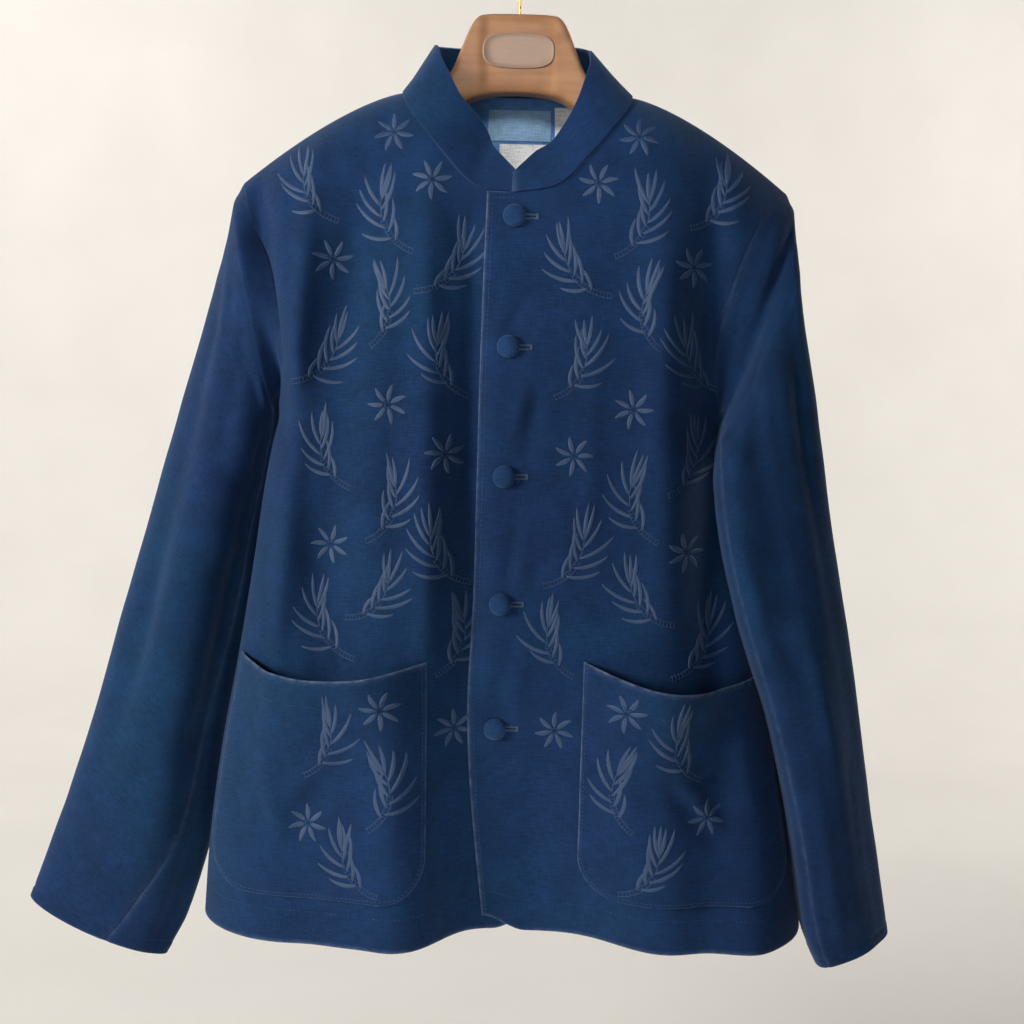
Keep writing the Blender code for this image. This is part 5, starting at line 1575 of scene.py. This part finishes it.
def button_profile():
    """A padded dome drawn in under its rim to a short shank, as pairs of radius and height."""
    rise = SHANK_LENGTH + BUTTON_RIM
    dome = np.radians(np.linspace(DOME_FROM_DEG, 90, DOME_STEPS))
    profile = [(BUTTON_RADIUS * math.sin(t) ** DOME_SQUARE, rise + BUTTON_DOME * math.cos(t)) for t in dome]
    tuck = np.radians(np.linspace(TUCK_FROM_DEG, 90, TUCK_STEPS))
    depth = BUTTON_RIM * TUCK_DOWN
    profile += [(BUTTON_RADIUS * (1 - TUCK_IN * (1 - math.cos(t))), rise - depth * math.sin(t)) for t in tuck]
    return profile + [(SHANK_RADIUS, SHANK_LENGTH), (SHANK_RADIUS, 0.0)]


def button_mesh(name, place, normal):
    radius, height = np.array(button_profile()).T[:, :, None]
    turn = around(BUTTON_SIDES)
    rings = points(radius * np.cos(turn), radius * np.sin(turn), height)
    turned = np.array(Vector(normal).to_track_quat("Z", "Y").to_matrix())
    return tube_mesh(name, rings @ turned.T + place, rings[..., :2], button_blue)


def buttonhole(x, z):
    """Close stitches on both sides of a slit, with a bar at its outer end."""
    strips = []
    for at in np.arange(x + HOLE_FROM, x + HOLE_TO, HOLE_PITCH):
        for hand in (-1, 1):
            jitter = RANDOM.uniform(*HOLE_JITTER) * HOLE_STITCH
            reach = np.array([HOLE_HALF, HOLE_HALF + HOLE_STITCH / 2, HOLE_HALF + HOLE_STITCH + jitter])
            strips.append(ribbon(points(at, z + hand * reach), HOLE_THREAD_HALF, HOLE_THREAD_HEIGHT, THREAD))
    bar = np.linspace(-1, 1, 5) * (HOLE_HALF + HOLE_STITCH)
    for step in range(BAR_THREADS):
        bar_x = x + HOLE_TO + step * BAR_PITCH
        strips.append(ribbon(points(bar_x, z + bar), BAR_THREAD_HALF, BAR_THREAD_HEIGHT, THREAD))
    return strips


hole_strips = []
for i in range(BUTTON_COUNT):
    z = np.array([BUTTON_TOP_Z - i * BUTTON_PITCH])
    x = centre_front(z)
    spot, normal = front_surfaces[LEFT](x, z)
    name = f"button_{i + 1}"
    button = button_mesh(f"{name}_covered", spot[0] + SEAM * normal[0], normal[0])
    place_piece(button, "indigo_cloth", name)
    hole_strips += buttonhole(x[0], z[0])
sew("buttonholes", front_surfaces[LEFT], hole_strips, thread_pale)


# Hanger, plate and hook

def hanger_sections():
    """Sections from the middle outwards: x, top, bottom, half depth and squareness."""
    sections = list(zip(*HANGER_NECK.values()))
    reach = HANGER_ARM_X[-1] - HANGER_ARM_X[0]
    for x in HANGER_ARM_X:
        share = (x - HANGER_ARM_X[0]) / reach
        clear = between(HANGER_NECK_CLEAR, HANGER_CLEAR, min(1.0, HANGER_CLEAR_RISE * share))
        top = float(ridge_z(x)) - clear
        deep = between(HANGER_ARM_DEEP, HANGER_ARM_THIN, share)
        depth = between(HANGER_ARM_HALF_DEPTH, HANGER_TIP_HALF_DEPTH, share)
        sections.append((x, top, top - deep, depth, HANGER_ARM_SQUARE))
    x, top, bottom, depth, square = sections[-1]
    sections.append((x + HANGER_END_LENGTH, top - HANGER_END_DROP, bottom + HANGER_END_RISE,
                     depth * HANGER_END_THIN, square))
    return np.array(sections).T


def hanger_mesh(finish):
    knots, *columns = hanger_sections()
    half = np.linspace(0, knots[-1], HANGER_STEPS)
    x = np.concatenate([-half[:0:-1], half])[:, None]
    top, bottom, depth, square = (smooth(knots, values, np.abs(x)) for values in columns)
    turn = around(HANGER_SIDES)
    z = (top + bottom) / 2 + (top - bottom) / 2 * squared(np.sin(turn), square)
    rings = points(x, depth * squared(np.cos(turn), square), z)
    return tube_mesh("hanger_wood_form", rings, rings[..., [0, 2]], finish)


def plate_mesh(finish):
    """A blank oval plate with a fine raised rim and a slightly domed face."""
    face_y = -HANGER_NECK["half_depth"][0] - SEAM
    share, rise = np.array(PLATE_RINGS).T[:, :, None]
    turn = around(PLATE_SIDES)
    x = PLATE_WIDTH / 2 * share * squared(np.cos(turn), PLATE_SQUARENESS)
    z = PLATE_Z + PLATE_HEIGHT / 2 * share * squared(np.sin(turn), PLATE_SQUARENESS)
    rings = points(x, face_y - PLATE_THICK * rise, z)
    return tube_mesh("hanger_plate_oval", rings, rings[..., [0, 2]], finish)


def hook_curve(finish):
    """One bent wire: a crook round the rail, swept back to a straight stem over the hanger."""
    radius = CROOK_RADIUS + WIRE_RADIUS
    angles = np.radians(np.linspace(CROOK_TO_DEG, CROOK_FROM_DEG, CROOK_STEPS + 1))
    route = [(radius * math.cos(t), -CROOK_RADIUS + radius * math.sin(t)) for t in angles]
    route += [*HOOK_SWEEP, (0.0, HANGER_NECK["top_z"][0] + SEAM)]
    wire = bpy.data.curves.new("hook_wire", "CURVE")
    wire.dimensions = "3D"
    wire.bevel_depth = WIRE_RADIUS
    wire.bevel_resolution = WIRE_RESOLUTION
    wire.use_fill_caps = True
    spline = wire.splines.new("POLY")
    spline.points.add(len(route) - 1)
    for point, (x, z) in zip(spline.points, route):
        point.co = (x, 0.0, z, 1.0)
    return add_object("hook_wire", wire, finish)


place_piece(hanger_mesh(wood_material()), "hanger_brown", "hanger")
place_piece(plate_mesh(plate_material()), "plate_brown", "hanger_plate")
place_piece(hook_curve(brass_material()), "brass_wire", "hook")


# Stage, light and camera

def backdrop(finish):
    """A pale floor that sweeps up behind into a plain backdrop."""
    turn = np.linspace(0, math.pi / 2, SWEEP_STEPS)
    sweep_y = FLOOR_BACK + SWEEP_RADIUS * np.sin(turn)
    y = np.concatenate([[FLOOR_FRONT], sweep_y, [FLOOR_BACK + SWEEP_RADIUS]])
    z = np.concatenate([[FLOOR_Z], FLOOR_Z + SWEEP_RADIUS * (1 - np.cos(turn)), [BACKDROP_TOP]])
    grid = points(np.array([[-FLOOR_HALF, FLOOR_HALF]]), y[:, None], z[:, None])
    mesh = bpy.data.meshes.new("floor")
    mesh.from_pydata(grid.reshape(-1, 3).tolist(), [], quads(np.arange(len(y) * 2).reshape(-1, 2)))
    mesh.shade_smooth()
    return add_object("floor", mesh, finish)


backdrop(floor_material())

for name, place, aim, size, power, spread_deg, colour in LIGHTS:
    lamp = bpy.data.lights.new(name, "AREA")
    lamp.shape = "DISK"
    lamp.size = size
    lamp.energy = power
    lamp.spread = math.radians(spread_deg)
    lamp.color = colour
    holder = bpy.data.objects.new(name, lamp)
    holder.location = place
    holder.rotation_euler = (aim - Vector(place)).to_track_quat("-Z", "Y").to_euler()
    holder.visible_camera = False
    bpy.context.scene.collection.objects.link(holder)

world = bpy.data.worlds.new("studio")
world.use_nodes = True
world.node_tree.nodes["Background"].inputs["Color"].default_value = WORLD_COLOUR
world.node_tree.nodes["Background"].inputs["Strength"].default_value = WORLD_STRENGTH
bpy.context.scene.world = world
bpy.context.scene.view_settings.view_transform = "Standard"


def photo_camera():
    """The camera at the photograph's height, looking slightly down and rolled a little."""
    pitch, roll_angle = math.radians(CAMERA_PITCH_DEG), math.radians(CAMERA_ROLL_DEG)
    ahead = Vector((0.0, math.cos(pitch), -math.sin(pitch)))
    level_up = Vector((0.0, math.sin(pitch), math.cos(pitch)))
    level_right = Vector((1.0, 0.0, 0.0))
    right = math.cos(roll_angle) * level_right + math.sin(roll_angle) * level_up
    up = math.cos(roll_angle) * level_up - math.sin(roll_angle) * level_right
    lens = bpy.data.cameras.new("photo_camera")
    lens.lens = CAMERA_LENS
    lens.sensor_width = CAMERA_SENSOR
    camera = bpy.data.objects.new("photo_camera", lens)
    turn = Matrix((right, up, -ahead)).transposed().to_4x4()
    camera.matrix_world = Matrix.Translation(CAMERA_PLACE) @ turn
    bpy.context.scene.collection.objects.link(camera)
    return camera


bpy.context.scene.camera = photo_camera()
